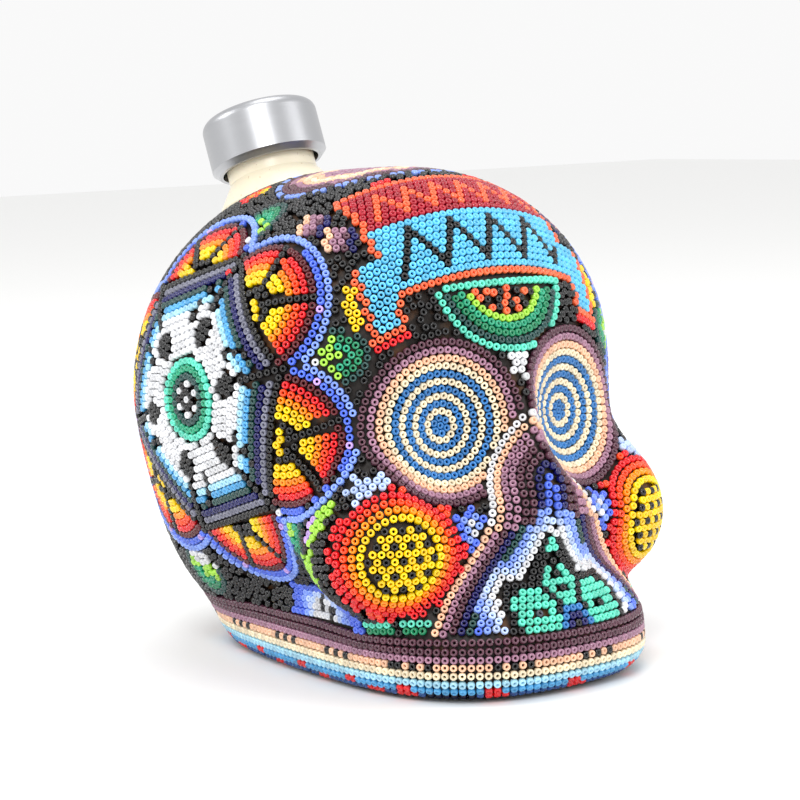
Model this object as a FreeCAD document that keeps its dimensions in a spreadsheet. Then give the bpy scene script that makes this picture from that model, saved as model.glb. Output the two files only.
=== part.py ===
import FreeCAD, Part
import math
import os

# A skull-shaped spirits bottle covered in glass seed beads that are pressed into a wax coat.
# +Z is up and the face looks along -Y. The origin is the centre of the foot, on the table.

os.makedirs("parts", exist_ok=True)
doc = FreeCAD.newDocument("beaded_skull_bottle")
sheet = doc.addObject("Spreadsheet::Sheet", "Dims")

DIMENSIONS = {
    # The coats, counted inwards from the outside of the beads.
    "bead_depth": 2.1,
    "coat_gap": 0.05,
    "wax_depth": 0.75,
    "wall_depth": 4.2,
    "seam": 0.2,
    # Smooth lumps that blend into the skull: centre, then half-sizes across, deep and high.
    "cranium_y": 25.5, "cranium_z": 71.0,
    "cranium_across": 58.7, "cranium_deep": 60.2, "cranium_high": 58.5,
    "brow_y": -8.0, "brow_z": 80.5,
    "brow_across": 53.7, "brow_deep": 30.9, "brow_high": 45.3,
    "nape_y": 43.5, "nape_z": 34.0,
    "nape_across": 38.4, "nape_deep": 34.9, "nape_high": 34.4,
    "face_y": -12.5, "face_z": 46.5,
    "face_across": 44.0, "face_deep": 43.9, "face_high": 36.3,
    "cheek_x": 35.3, "cheek_y": -31.0, "cheek_z": 38.4, "cheek_size": 19.3,
    "nose_y": -33.0, "nose_z": 40.0, "nose_lean": 14.0,
    "nose_across": 12.0, "nose_deep": 13.0, "nose_high": 32.0,
    "lip_y": -31.0, "lip_z": 18.2,
    "lip_across": 31.5, "lip_deep": 28.7, "lip_high": 17.7,
    "socket_x": 25.3, "socket_y": -51.0, "socket_z": 68.8,
    "socket_wide": 21.4, "socket_deep": 14.8,
    # The jaw is a rounded slab whose plan is an egg, narrow at the back.
    "jaw_half_width": 38.7, "jaw_half_length": 65.9, "jaw_taper": 0.19,
    "jaw_square": 2.8, "jaw_z": 10.8, "jaw_flat": 2.0, "jaw_round": 9.0, "jaw_draft": 0.08,
    "foot_inset": 13.0, "foot_height": 5.0, "bowl_top": 66.0,
    # The neck and its stopper, measured along the neck's own leaning axis.
    "neck_lean": 21.0, "neck_foot_y": 9.1,
    "neck_radius": 12.4, "neck_root_radius": 17.0,
    "neck_root_at": 129.0, "neck_waist_at": 136.0, "neck_lip_at": 145.2,
    "bore_radius": 9.6, "bore_from": 108.0,
    "cap_radius": 16.25, "cap_height": 16.0, "cap_at": 139.2,
    "cap_wall": 1.0, "cap_edge_round": 3.0, "cap_skirt_chamfer": 1.6,
    "shank_radius": 9.5, "shank_length": 21.0,
    # The picture areas worked into the beads.
    "eye_x": 21.3, "eye_y": -42.0, "eye_z": 67.3, "eye_radius": 20.4, "eye_turn": 23.0,
    "sun_x": 41.7, "sun_y": -42.0, "sun_z": 36.9, "sun_radius": 15.8, "sun_turn": 30.0,
    "band_top": 16.2,
    "nose_panel_top": 68.6, "nose_panel_half_width": 33.5, "nose_panel_tip": 1.2,
    "banner_lean": 50.0,
    "upper_half_width": 29.5, "upper_low": 57.0, "upper_high": 73.0,
    "lower_half_width": 36.8, "lower_low": 39.6, "lower_notch": 50.4, "lower_waist": 31.0,
    "tail_width": 9.8, "tail_low": 34.6, "tail_end": 30.6,
    "slice_radius": 20.5, "slice_z": 103.8,
    "diamond_z": 80.9, "diamond_side": 4.4,
    "medal_y": 19.1, "medal_z": 73.1, "medal_size": 37.2, "medal_turn": 15.5,
    "petal_radius": 17.4, "petal_border": 3.9, "petal_splay": 30.0, "petal_x": 50.0,
    "crown_y": 15.0, "crown_z": 127.5, "crown_across": 25.5, "crown_deep": 15.5, "crown_high": 22.0,
}

for row, (alias, value) in enumerate(DIMENSIONS.items(), start=1):
    sheet.set("A%d" % row, alias)
    sheet.set("B%d" % row, str(value))
    sheet.setAlias("B%d" % row, alias)
doc.recompute()


def dim(alias):
    """The plain number held in a spreadsheet cell."""
    return float(sheet.get(alias))


# ---- The skull's form: a blend of lumps, given as distance outside the surface ----

SUBTLE, SOFT, FIRM = 24.0, 20.0, 12.0

LUMPS = []
for lump, blend in (("cranium", 0.0), ("brow", SUBTLE), ("nape", 22.0), ("face", SOFT)):
    LUMPS.append((0.0, dim(lump + "_y"), dim(lump + "_z"), dim(lump + "_across"),
                  dim(lump + "_deep"), dim(lump + "_high"), 0.0, blend))
CHEEK = (dim("cheek_x"), dim("cheek_y"), dim("cheek_z"),
         dim("cheek_size"), dim("cheek_size"), dim("cheek_size"), 0.0, FIRM)
NOSE = (0.0, dim("nose_y"), dim("nose_z"), dim("nose_across"), dim("nose_deep"),
        dim("nose_high"), math.radians(-dim("nose_lean")), FIRM)
LIP = (0.0, dim("lip_y"), dim("lip_z"), dim("lip_across"), dim("lip_deep"),
       dim("lip_high"), 0.0, FIRM)
LUMPS += [CHEEK, NOSE, LIP]
SOCKET = (dim("socket_x"), dim("socket_y"), dim("socket_z"), dim("socket_wide"),
          dim("socket_deep"), dim("socket_wide"), 0.0, 7.0)
JAW_WIDTH, JAW_LENGTH = dim("jaw_half_width"), dim("jaw_half_length")
JAW_TAPER, JAW_SQUARE = dim("jaw_taper"), dim("jaw_square")
JAW_Z, JAW_FLAT = dim("jaw_z"), dim("jaw_flat")
JAW_ROUND, JAW_DRAFT = dim("jaw_round"), dim("jaw_draft")


def lump_distance(x, y, z, lump):
    """Distance outside an ellipsoid, which may lean about the X axis."""
    cx, cy, cz, rx, ry, rz, lean, _ = lump
    dx, dy, dz = x - cx, y - cy, z - cz
    if lean:
        dy, dz = (dy * math.cos(lean) + dz * math.sin(lean),
                  dz * math.cos(lean) - dy * math.sin(lean))
    near = math.sqrt((dx / rx) ** 2 + (dy / ry) ** 2 + (dz / rz) ** 2)
    slope = math.sqrt((dx / rx ** 2) ** 2 + (dy / ry ** 2) ** 2 + (dz / rz ** 2) ** 2)
    return near * (near - 1.0) / max(slope, 1e-9)


def jaw_distance(x, y, z):
    """Distance outside the rounded slab of the jaw."""
    u = y / JAW_LENGTH
    half = JAW_WIDTH * (1.0 - JAW_TAPER * max(-1.2, min(1.2, u)))
    plan = (abs(x / half) ** JAW_SQUARE + abs(u) ** JAW_SQUARE) ** (1.0 / JAW_SQUARE)
    side = (plan - 1.0) * 0.5 * (JAW_WIDTH + JAW_LENGTH) + JAW_DRAFT * (z - 8.0) + JAW_ROUND
    end = abs(z - JAW_Z) - JAW_FLAT
    outside = math.hypot(max(side, 0.0), max(end, 0.0))
    return outside - JAW_ROUND + min(max(side, end), 0.0)


def join(a, b, blend):
    """The smaller of two distances, rounded over where they meet."""
    over = max(blend - abs(a - b), 0.0) / max(blend, 1e-9)
    return min(a, b) - over * over * blend * 0.25


def skull_distance(x, y, z):
    """Distance outside the beads' outer surface."""
    x = abs(x)
    d = lump_distance(x, y, z, LUMPS[0])
    for lump in LUMPS[1:]:
        d = join(d, lump_distance(x, y, z, lump), lump[-1])
    d = join(d, jaw_distance(x, y, z), FIRM)
    return -join(-d, lump_distance(x, y, z, SOCKET), SOCKET[-1])


# ---- The neck's axis, which leans back from the middle of the foot ----

LEAN = math.radians(dim("neck_lean"))
AXIS = FreeCAD.Vector(0.0, math.sin(LEAN), math.cos(LEAN))
AXIS_FOOT = FreeCAD.Vector(0.0, dim("neck_foot_y"), 0.0)
AXIS_TURN = FreeCAD.Rotation(FreeCAD.Vector(1, 0, 0), -dim("neck_lean"))


def on_axis(distance):
    """Placement standing on the neck's axis, that far from the table."""
    return FreeCAD.Placement(AXIS_FOOT + AXIS * distance, AXIS_TURN)


def crossing(start, toward, depth):
    """First point, travelling inwards, that lies the given depth under the surface."""
    p = FreeCAD.Vector(start)
    for _ in range(60):
        gap = skull_distance(p.x, p.y, p.z) + depth
        p = p + toward * gap
        if abs(gap) < 2e-4:
            break
    return p


RINGS, SPOKES = 56, 104


def skin(depth):
    """Closed solid under the surface: rings on planes that swing from the foot to the neck."""
    low = depth + 0.6
    top = crossing(AXIS_FOOT + AXIS * 170.0, AXIS * -1.0, depth)
    end = top - AXIS * 1.0
    hinge_y = end.y + (end.z - low) / math.tan(LEAN)
    rings = []
    for i in range(RINGS):
        swing = LEAN * 0.5 * (1.0 - math.cos(math.pi * i / (RINGS - 1.0)))
        slope = math.tan(swing)
        along = ((hinge_y * slope) / (slope * end.y + end.z - low))
        centre = FreeCAD.Vector(0.0, end.y * along, low + (end.z - low) * along)
        half = []
        for k in range(SPOKES // 2 + 1):
            a = 2.0 * math.pi * k / SPOKES
            spoke = FreeCAD.Vector(math.sin(a), math.cos(a) * math.cos(swing),
                                   -math.cos(a) * math.sin(swing))
            half.append(crossing(centre + spoke * 125.0, spoke * -1.0, depth))
        other = [FreeCAD.Vector(-p.x, p.y, p.z) for p in reversed(half[1:-1])]
        half[0].x = 0.0
        half[-1].x = 0.0
        rings.append(half + other)
    return skinned_solid(rings)


def skinned_solid(rings):
    """Smooth surface through the rings, closed by the two flat ends."""
    columns = []
    for ring in rings:
        curve = Part.BSplineCurve()
        curve.interpolate(Points=ring, PeriodicFlag=True,
                          Parameters=[float(k) for k in range(len(ring) + 1)])
        columns.append(curve.getPoles())
    around_knots, around_mults = curve.getKnots(), curve.getMultiplicities()
    grid = []
    for k in range(len(columns[0])):
        rib = Part.BSplineCurve()
        rib.interpolate(Points=[c[k] for c in columns],
                        Parameters=[float(i) for i in range(len(columns))])
        grid.append(rib.getPoles())
    surface = Part.BSplineSurface()
    surface.buildFromPolesMultsKnots(grid, around_mults, rib.getMultiplicities(), around_knots,
                                     rib.getKnots(), True, False, 3, 3)
    side = surface.toShape()
    first, last = rib.getKnots()[0], rib.getKnots()[-1]
    ends = [Part.Face(Part.Wire(surface.vIso(v).toShape())) for v in (first, last)]
    shell = Part.Shell([side] + ends)
    shell.sewShape()
    solid = Part.Solid(shell)
    if solid.Volume < 0.0:
        solid.reverse()
    return solid


# ---- Small makers for parametric document objects ----

def primitive(kind, name, sizes, placement):
    """Part primitive whose sizes follow the spreadsheet."""
    made = doc.addObject("Part::" + kind, name)
    for field, formula in sizes.items():
        made.setExpression(field, formula)
    made.Placement = placement
    return made


def boolean(kind, name, base, tool):
    """Part::Cut or Part::Common of two objects."""
    made = doc.addObject("Part::" + kind, name)
    made.Base = base
    made.Tool = tool
    return made


def fused(name, pieces):
    """Union of several objects."""
    made = doc.addObject("Part::MultiFuse", name)
    made.Shapes = pieces
    return made


def fixed(name, shape):
    """Object that holds a shape no primitive can make."""
    made = doc.addObject("Part::Feature", name)
    made.Shape = shape
    return made


SUBPARTS = {}


def subpart(node, made):
    """Names an object as one of the pieces that are written out."""
    made.Label = node
    SUBPARTS[node] = made
    return made


def lying(direction, origin):
    """Placement whose own Z axis points along a direction."""
    turn = FreeCAD.Rotation(FreeCAD.Vector(0, 0, 1), direction)
    return FreeCAD.Placement(origin, turn)


# ---- Nested skins ----

BEAD, GAP, WAX, WALL = dim("bead_depth"), dim("coat_gap"), dim("wax_depth"), dim("wall_depth")
bead_outer = fixed("bead_outer", skin(0.0))
bead_inner = fixed("bead_inner", skin(BEAD))
wax_outer = fixed("wax_outer", skin(BEAD + GAP))
wax_inner = fixed("wax_inner", skin(BEAD + GAP + WAX))
glass_outer = fixed("glass_outer", skin(BEAD + 2.0 * GAP + WAX))
glass_inner = fixed("glass_inner", skin(BEAD + 2.0 * GAP + WAX + WALL))


def foot_plug(inset, height):
    """Upright egg-shaped plug, the jaw's plan drawn in by the inset."""
    points = []
    for k in range(24):
        a = 2.0 * math.pi * k / 24.0
        power = 2.0 / JAW_SQUARE
        u = math.copysign(abs(math.cos(a)) ** power, math.cos(a))
        y = (JAW_LENGTH - inset) * u
        half = JAW_WIDTH * (1.0 - JAW_TAPER * u) - inset
        x = half * math.copysign(abs(math.sin(a)) ** power, math.sin(a))
        points.append(FreeCAD.Vector(x, y, 0.0))
    outline = Part.BSplineCurve()
    outline.interpolate(Points=points, PeriodicFlag=True)
    return Part.Face(Part.Wire(outline.toShape())).extrude(FreeCAD.Vector(0, 0, height))


INSET, FOOT = dim("foot_inset"), dim("foot_height")
foot = fixed("foot", foot_plug(INSET, FOOT))
foot_clearance = fixed("foot_clearance", foot_plug(INSET - 0.4, FOOT + 3.0))
foot_clearance.Placement = FreeCAD.Placement(FreeCAD.Vector(0, 0, -1), FreeCAD.Rotation())

# ---- Bottle ----

neck_tube = primitive("Cylinder", "neck_tube",
                      {"Radius": "Dims.neck_radius",
                       "Height": "Dims.neck_lip_at - Dims.neck_root_at + 6"},
                      on_axis(dim("neck_root_at") - 6.0))
neck_flare = primitive("Cone", "neck_flare",
                       {"Radius1": "Dims.neck_root_radius", "Radius2": "Dims.neck_radius",
                        "Height": "Dims.neck_waist_at - Dims.neck_root_at"},
                       on_axis(dim("neck_root_at")))
neck_root = primitive("Cylinder", "neck_root",
                      {"Radius": "Dims.neck_root_radius", "Height": "4"},
                      on_axis(dim("neck_root_at") - 4.0))
bore = primitive("Cylinder", "bore",
                 {"Radius": "Dims.bore_radius", "Height": "Dims.neck_lip_at - Dims.bore_from + 2"},
                 on_axis(dim("bore_from")))
bottle_blank = fused("bottle_blank", [glass_outer, foot, neck_root, neck_flare, neck_tube])
hollow = fused("hollow", [glass_inner, bore])
bottle_cut = boolean("Cut", "bottle_cut", bottle_blank, hollow)

# The one ceramic body is kept as three nodes: a bowl, a dome and the neck.
neck_core = primitive("Cylinder", "neck_core",
                      {"Radius": "Dims.neck_root_radius + 0.1", "Height": "60"},
                      on_axis(dim("neck_lip_at") - 50.0))
bowl_room = primitive("Box", "bowl_room", {"Length": "200", "Width": "240",
                                           "Height": "Dims.bowl_top + 5"},
                      FreeCAD.Placement(FreeCAD.Vector(-100, -120, -5), FreeCAD.Rotation()))
subpart("bottle_bowl", boolean("Common", "bowl_common", bottle_cut, bowl_room))
above = boolean("Cut", "above_bowl", bottle_cut, bowl_room)
subpart("bottle_dome", boolean("Cut", "dome_cut", above, neck_core))
subpart("bottle_neck", boolean("Common", "neck_common", bottle_cut, neck_core))

neck_clearance = fused("neck_clearance", [
    primitive("Cone", "neck_flare_clearance",
              {"Radius1": "Dims.neck_root_radius + Dims.seam",
               "Radius2": "Dims.neck_radius + Dims.seam",
               "Height": "Dims.neck_waist_at - Dims.neck_root_at"},
              on_axis(dim("neck_root_at"))),
    primitive("Cylinder", "neck_root_clearance",
              {"Radius": "Dims.neck_root_radius + Dims.seam", "Height": "20"},
              on_axis(dim("neck_root_at") - 20.0))])
openings = fused("openings", [neck_clearance, foot_clearance])

wax_shell = boolean("Cut", "wax_shell", wax_outer, wax_inner)
subpart("wax_coat", boolean("Cut", "wax_cut", wax_shell, openings))
bead_shell = boolean("Cut", "bead_shell", bead_outer, bead_inner)
beads = boolean("Cut", "beads", bead_shell, openings)
doc.recompute()

# ---- Cutters for the picture areas. Each comes in two sizes: its own, and its own plus a seam ----


def grown(formula, seam):
    """Formula for a size, with the seam added when it clears room for a neighbour."""
    return formula + " + Dims.seam" if seam else formula


def round_cutter(name, radius, centre, direction, seam, reach=14.0):
    """Cylinder through the bead coat."""
    step = FreeCAD.Vector(direction).normalize() * reach
    return primitive("Cylinder", name + ("_room" if seam else "_tool"),
                     {"Radius": grown(radius, seam), "Height": str(2.0 * reach)},
                     lying(direction, centre - step))


def eye_tool(side, seam):
    """Disc over a socket, turned outwards with it."""
    turn = math.radians(dim("eye_turn"))
    out = FreeCAD.Vector(side * math.sin(turn), -math.cos(turn), 0.12)
    centre = FreeCAD.Vector(side * dim("eye_x"), dim("eye_y"), dim("eye_z"))
    return round_cutter("eye_%s" % SIDE_NAME[side], "Dims.eye_radius", centre, out, seam)


def sun_tool(side, seam):
    """Disc over the crown of a cheek."""
    turn = math.radians(dim("sun_turn"))
    out = FreeCAD.Vector(side * math.sin(turn), -math.cos(turn), -0.08)
    centre = FreeCAD.Vector(side * dim("sun_x"), dim("sun_y"), dim("sun_z"))
    return round_cutter("sun_%s" % SIDE_NAME[side], "Dims.sun_radius", centre, out, seam)


def nose_tool(seam):
    """Tall triangle from the jaw band to the bridge of the nose."""
    name = "nose_room" if seam else "nose_tool"
    made = doc.addObject("Part::Wedge", name)
    half, tip = grown("Dims.nose_panel_half_width", seam), grown("Dims.nose_panel_tip", seam)
    for field, formula in {"Xmin": "-(%s)" % half, "Xmax": half, "Ymin": "0",
                           "Ymax": grown("Dims.nose_panel_top - Dims.band_top", seam),
                           "Zmin": "0", "Zmax": "50", "X2min": "-(%s)" % tip, "X2max": tip,
                           "Z2min": "0", "Z2max": "50"}.items():
        made.setExpression(field, formula)
    turn = FreeCAD.Rotation(FreeCAD.Vector(1, 0, 0), 90)
    low = dim("band_top") + (0.0 if seam else dim("seam"))
    made.Placement = FreeCAD.Placement(FreeCAD.Vector(0, -32, low), turn)
    return made


BANNER = FreeCAD.Rotation(FreeCAD.Vector(1, 0, 0), 90.0 - dim("banner_lean"))
UP_SLOPE = FreeCAD.Vector(0, math.sin(math.radians(dim("banner_lean"))),
                          math.cos(math.radians(dim("banner_lean"))))
OUT_SLOPE = FreeCAD.Vector(0, -UP_SLOPE.z, UP_SLOPE.y)


def strip(name, left, right, low, high, seam):
    """Box through the forehead, given across and up the slope of the brow."""
    grow = dim("seam") if seam else 0.0
    width = grown("%s - (%s)" % (right, left), seam) + (" + Dims.seam" if seam else "")
    climb = grown("%s - (%s)" % (high, low), seam) + (" + Dims.seam" if seam else "")
    at = [float(doc.getObject("Dims").evalExpression(f)) for f in (left, low)]
    corner = (FreeCAD.Vector(at[0] - grow, 0, 0) + UP_SLOPE * (at[1] - grow) + OUT_SLOPE * 78.0)
    return primitive("Box", name + ("_room" if seam else "_tool"),
                     {"Length": width, "Width": climb, "Height": "40"},
                     FreeCAD.Placement(corner, BANNER))


def upper_tool(seam):
    """The upper strip of the banner."""
    return strip("upper", "-Dims.upper_half_width", "Dims.upper_half_width",
                 "Dims.upper_low", "Dims.upper_high", seam)


def lower_tool(seam):
    """The lower strip: a waist, a wide fold and a drooping tail at each end."""
    waist = strip("waist", "-Dims.lower_waist", "Dims.lower_waist",
                  "Dims.lower_notch - 1", "Dims.upper_low - Dims.seam", seam)
    fold = strip("fold", "-Dims.lower_half_width", "Dims.lower_half_width",
                 "Dims.lower_low", "Dims.lower_notch", seam)
    right = strip("tail_right", "-Dims.lower_half_width",
                  "Dims.tail_width - Dims.lower_half_width",
                  "Dims.tail_low", "Dims.lower_low + 1", seam)
    left = strip("tail_left", "Dims.lower_half_width - Dims.tail_width",
                 "Dims.lower_half_width", "Dims.tail_low", "Dims.lower_low + 1", seam)
    return fused("lower_room" if seam else "lower_tool", [waist, fold, right, left])


def hem_tool(side, seam):
    """The graded rows that finish a tail."""
    low, high = "Dims.tail_end", "Dims.tail_low - Dims.seam"
    if side < 0:
        return strip("hem_right", "-Dims.lower_half_width",
                     "Dims.tail_width - Dims.lower_half_width", low, high, seam)
    return strip("hem_left", "Dims.lower_half_width - Dims.tail_width",
                 "Dims.lower_half_width", low, high, seam)


def slice_tool(seam):
    """Lower half of a disc that hangs from the banner."""
    centre = FreeCAD.Vector(0, -38, dim("slice_z"))
    disc = round_cutter("slice_disc", "Dims.slice_radius", centre,
                        FreeCAD.Vector(0, -0.94, 0.34), seam, 18.0)
    below = strip("slice_below", "-Dims.lower_half_width", "Dims.lower_half_width",
                  "Dims.lower_low - 40", "Dims.lower_low - Dims.seam", seam)
    return boolean("Common", "slice_room" if seam else "slice_tool", disc, below)


def diamond_tool(seam):
    """Square on its corner, between the eyes."""
    side = grown("Dims.diamond_side", seam)
    grow = dim("seam") * 0.5 if seam else 0.0
    half = (dim("diamond_side") / 2.0 + grow) * math.sqrt(2.0)
    turn = FreeCAD.Rotation(FreeCAD.Vector(0, 1, 0), 45)
    corner = FreeCAD.Vector(-half, -62, dim("diamond_z"))
    return primitive("Box", "diamond_room" if seam else "diamond_tool",
                     {"Length": side, "Width": "30", "Height": side},
                     FreeCAD.Placement(corner, turn))


def medal_tool(side, seam):
    """Six-sided prism through the side of the skull."""
    return primitive("Prism", "medal_%s_%s" % (SIDE_NAME[side], "room" if seam else "tool"),
                     {"Polygon": "6", "Circumradius": grown("Dims.medal_size", seam),
                      "Height": "45"},
                     FreeCAD.Placement(FreeCAD.Vector(side * 25.0, dim("medal_y"), dim("medal_z")),
                                       turn_hexagon(side)))


def turn_hexagon(side):
    """Turns a prism on its side so that one corner points forward and a little up."""
    turn = math.radians(dim("medal_turn"))
    corner = FreeCAD.Vector(0, -math.cos(turn), math.sin(turn))
    out = FreeCAD.Vector(side, 0, 0)
    return FreeCAD.Rotation(corner, FreeCAD.Vector(), out, "ZXY")


def petal_tool(side, index, border, seam):
    """Cylinder on the middle of one side of the hexagon, splayed to follow the skull."""
    a = math.radians(dim("medal_turn") + 30.0 + 60.0 * index)
    away = FreeCAD.Vector(0, -math.cos(a), math.sin(a))
    middle = FreeCAD.Vector(side * dim("petal_x"), dim("medal_y"), dim("medal_z"))
    middle = middle + away * (dim("medal_size") * math.cos(math.pi / 6.0))
    splay = math.radians(dim("petal_splay"))
    out = FreeCAD.Vector(side * math.cos(splay), 0, 0) + away * math.sin(splay)
    radius = "Dims.petal_radius + Dims.petal_border" if border else "Dims.petal_radius"
    name = "%s_%s_%d" % ("border" if border else "petal", SIDE_NAME[side], index + 1)
    return round_cutter(name, radius, middle, out, seam, 16.0)


def crown_tool(seam):
    """Oval on the crown, in front of the neck."""
    return primitive("Ellipsoid", "crown_room" if seam else "crown_tool",
                     {"Radius1": grown("Dims.crown_high", seam),
                      "Radius2": grown("Dims.crown_across", seam),
                      "Radius3": grown("Dims.crown_deep", seam)},
                     FreeCAD.Placement(FreeCAD.Vector(0, dim("crown_y"), dim("crown_z")),
                                       FreeCAD.Rotation()))


SIDE_NAME = {-1: "right", 1: "left"}
rooms = []


def mat(node, tool, room, neighbours=()):
    """Bead mat: the part of the bead coat inside its tool and clear of its neighbours."""
    made = boolean("Common", node + "_common", beads, tool)
    for k, neighbour in enumerate(neighbours):
        made = boolean("Cut", "%s_trim_%d" % (node, k + 1), made, neighbour)
    rooms.append(room)
    return subpart(node, made)


band_tool = primitive("Box", "band_tool", {"Length": "200", "Width": "240",
                                           "Height": "Dims.band_top + 5"},
                      FreeCAD.Placement(FreeCAD.Vector(-100, -120, -5), FreeCAD.Rotation()))
band_room = primitive("Box", "band_room", {"Length": "200", "Width": "240",
                                           "Height": "Dims.band_top + Dims.seam + 5"},
                      FreeCAD.Placement(FreeCAD.Vector(-100, -120, -5), FreeCAD.Rotation()))
mat("jaw_band", band_tool, band_room)

nose_room = nose_tool(True)
mat("nose_panel", nose_tool(False), nose_room)
lower_room = lower_tool(True)
mat("banner_lower", lower_tool(False), lower_room)
mat("banner_upper", upper_tool(False), upper_tool(True))
diamond_room = diamond_tool(True)
mat("brow_diamond", diamond_tool(False), diamond_room)

border_rooms = []
for side in (-1, 1):
    label = SIDE_NAME[side]
    eye_room = eye_tool(side, True)
    mat("eye_roundel_" + label, eye_tool(side, False), eye_room, [nose_room, diamond_room])
    mat("cheek_sun_" + label, sun_tool(side, False), sun_tool(side, True), [nose_room, eye_room])
    mat("banner_hem_" + label, hem_tool(side, False), hem_tool(side, True), [eye_room])
    medal_room = medal_tool(side, True)
    mat("medallion_" + label, medal_tool(side, False), medal_room)
    petal_rooms, borders = [], []
    for index in range(6):
        room = petal_tool(side, index, False, True)
        mat("petal_%s_%d" % (label, index + 1), petal_tool(side, index, False, False), room,
            [medal_room])
        petal_rooms.append(room)
        borders.append(petal_tool(side, index, True, False))
        border_rooms.append(petal_tool(side, index, True, True))
    border_tool = fused("border_tool_" + label, borders)
    inside = fused("border_inside_" + label, petal_rooms + [medal_room])
    made = boolean("Common", "petal_border_common_" + label, beads, border_tool)
    subpart("petal_border_" + label, boolean("Cut", "petal_border_trim_" + label, made, inside))

border_room = fused("border_room", border_rooms)
crown_room = crown_tool(True)
mat("crown_roundel", crown_tool(False), crown_room, [border_room])
mat("fruit_slice", slice_tool(False), slice_tool(True), [lower_room, diamond_room])
doc.recompute()

field = beads.Shape.cut([room.Shape for room in rooms] + [border_room.Shape])
loose = sorted(field.Solids, key=lambda solid: -solid.Volume)
subpart("black_field", fixed("field", loose[0]))

# ---- Stopper: metal cap over a plastic head and a cork shank ----

cap_blank = primitive("Cylinder", "cap_blank",
                      {"Radius": "Dims.cap_radius", "Height": "Dims.cap_height"},
                      FreeCAD.Placement())
doc.recompute()


def rim_edge(shape, height):
    """Number of the round edge that lies at a height."""
    for number, edge in enumerate(shape.Edges, start=1):
        box = edge.BoundBox
        if abs(box.ZMin - height) < 1e-6 and abs(box.ZMax - height) < 1e-6:
            return number
    raise ValueError("no rim at %g" % height)


cap_rounded = doc.addObject("Part::Fillet", "cap_rounded")
cap_rounded.Base = cap_blank
edge = rim_edge(cap_blank.Shape, dim("cap_height"))
cap_rounded.Edges = [(edge, dim("cap_edge_round"), dim("cap_edge_round"))]
doc.recompute()
cap_chamfered = doc.addObject("Part::Chamfer", "cap_chamfered")
cap_chamfered.Base = cap_rounded
edge = rim_edge(cap_rounded.Shape, 0.0)
cap_chamfered.Edges = [(edge, dim("cap_skirt_chamfer"), dim("cap_skirt_chamfer"))]
cap_hollow = primitive("Cylinder", "cap_hollow",
                       {"Radius": "Dims.cap_radius - Dims.cap_wall - Dims.cap_skirt_chamfer",
                        "Height": "Dims.cap_height - Dims.cap_wall"},
                       FreeCAD.Placement())
cap = subpart("cap_shell", boolean("Cut", "cap_cut", cap_chamfered, cap_hollow))
cap.Placement = on_axis(dim("cap_at"))

head = primitive("Cylinder", "head",
                 {"Radius": "Dims.cap_radius - Dims.cap_wall - Dims.cap_skirt_chamfer - 0.05",
                  "Height": "Dims.cap_at + Dims.cap_height - Dims.cap_wall - Dims.neck_lip_at"
                            " - 0.15"},
                 on_axis(dim("neck_lip_at") + 0.1))
subpart("stopper_head", head)
shank = primitive("Cylinder", "shank",
                  {"Radius": "Dims.shank_radius", "Height": "Dims.shank_length"},
                  on_axis(dim("neck_lip_at") + 0.08 - dim("shank_length")))
subpart("cork_shank", shank)

doc.recompute()

# ---- Checks, then one file for each piece ----

for made in doc.Objects:
    if "Invalid" in made.State or "Error" in made.State:
        raise RuntimeError("%s did not compute" % made.Name)
for node, made in SUBPARTS.items():
    if made.Shape.isNull() or not made.Shape.isValid() or made.Shape.Volume < 1.0:
        raise RuntimeError("%s has no sound shape" % node)
for node, made in SUBPARTS.items():
    made.Shape.exportStep("parts/%s.step" % node)
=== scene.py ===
"""Skull-shaped spirits bottle, covered in glass seed beads pressed hole-outward into beeswax.

Every bead is laid by rule on the wax: rows that follow the outline of each picture, bead charts
for the small signs, and a field of black beads that packs in round them. Layout is in
millimetres; finished meshes are in metres. +Z is up, the face looks along -Y and the skull's
right side is towards -X.
"""
import logging
import math
from dataclasses import dataclass, field
from enum import Enum
from heapq import heapify, heappop, heappush
from typing import Any, Callable, Iterable, Sequence

import bpy
import numpy as np
from mathutils import Matrix, Vector
from mathutils.bvhtree import BVHTree


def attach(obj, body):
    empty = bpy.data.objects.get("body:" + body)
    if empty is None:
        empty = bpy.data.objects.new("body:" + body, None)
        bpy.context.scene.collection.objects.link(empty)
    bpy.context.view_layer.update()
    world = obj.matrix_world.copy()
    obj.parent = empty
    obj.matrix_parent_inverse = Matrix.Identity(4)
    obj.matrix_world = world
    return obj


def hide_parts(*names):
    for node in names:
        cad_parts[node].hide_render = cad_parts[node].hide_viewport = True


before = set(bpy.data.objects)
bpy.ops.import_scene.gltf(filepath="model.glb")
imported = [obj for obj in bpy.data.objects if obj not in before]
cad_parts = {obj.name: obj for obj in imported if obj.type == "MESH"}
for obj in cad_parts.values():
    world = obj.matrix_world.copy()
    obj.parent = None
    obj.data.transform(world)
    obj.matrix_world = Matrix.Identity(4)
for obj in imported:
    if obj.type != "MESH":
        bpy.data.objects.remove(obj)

LOG = logging.getLogger("beaded_skull")
MM = 0.001
# Keeps divisions from failing, and a length too small to matter in millimetres.
TINY = 1e-9
HAIR = 1e-6
# Side of the cells that sort beads by place, and a distance that stands for none near.
CELL = 2.2
FAR = 9.0
Points = np.ndarray
Rule = Callable[[np.ndarray, np.ndarray], np.ndarray]


# ---- Finishes ----

def linear(hex_colour: str) -> tuple[float, float, float, float]:
    """Linear colour of an sRGB hex value.

    Args:
        hex_colour: Six hex digits.

    Returns:
        Red, green, blue and an alpha of 1.
    """
    parts = [int(hex_colour[k:k + 2], 16) / 255.0 for k in (0, 2, 4)]
    red, green, blue = (c / 12.92 if c <= 0.04045 else ((c + 0.055) / 1.055) ** 2.4 for c in parts)
    return red, green, blue, 1.0


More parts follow.
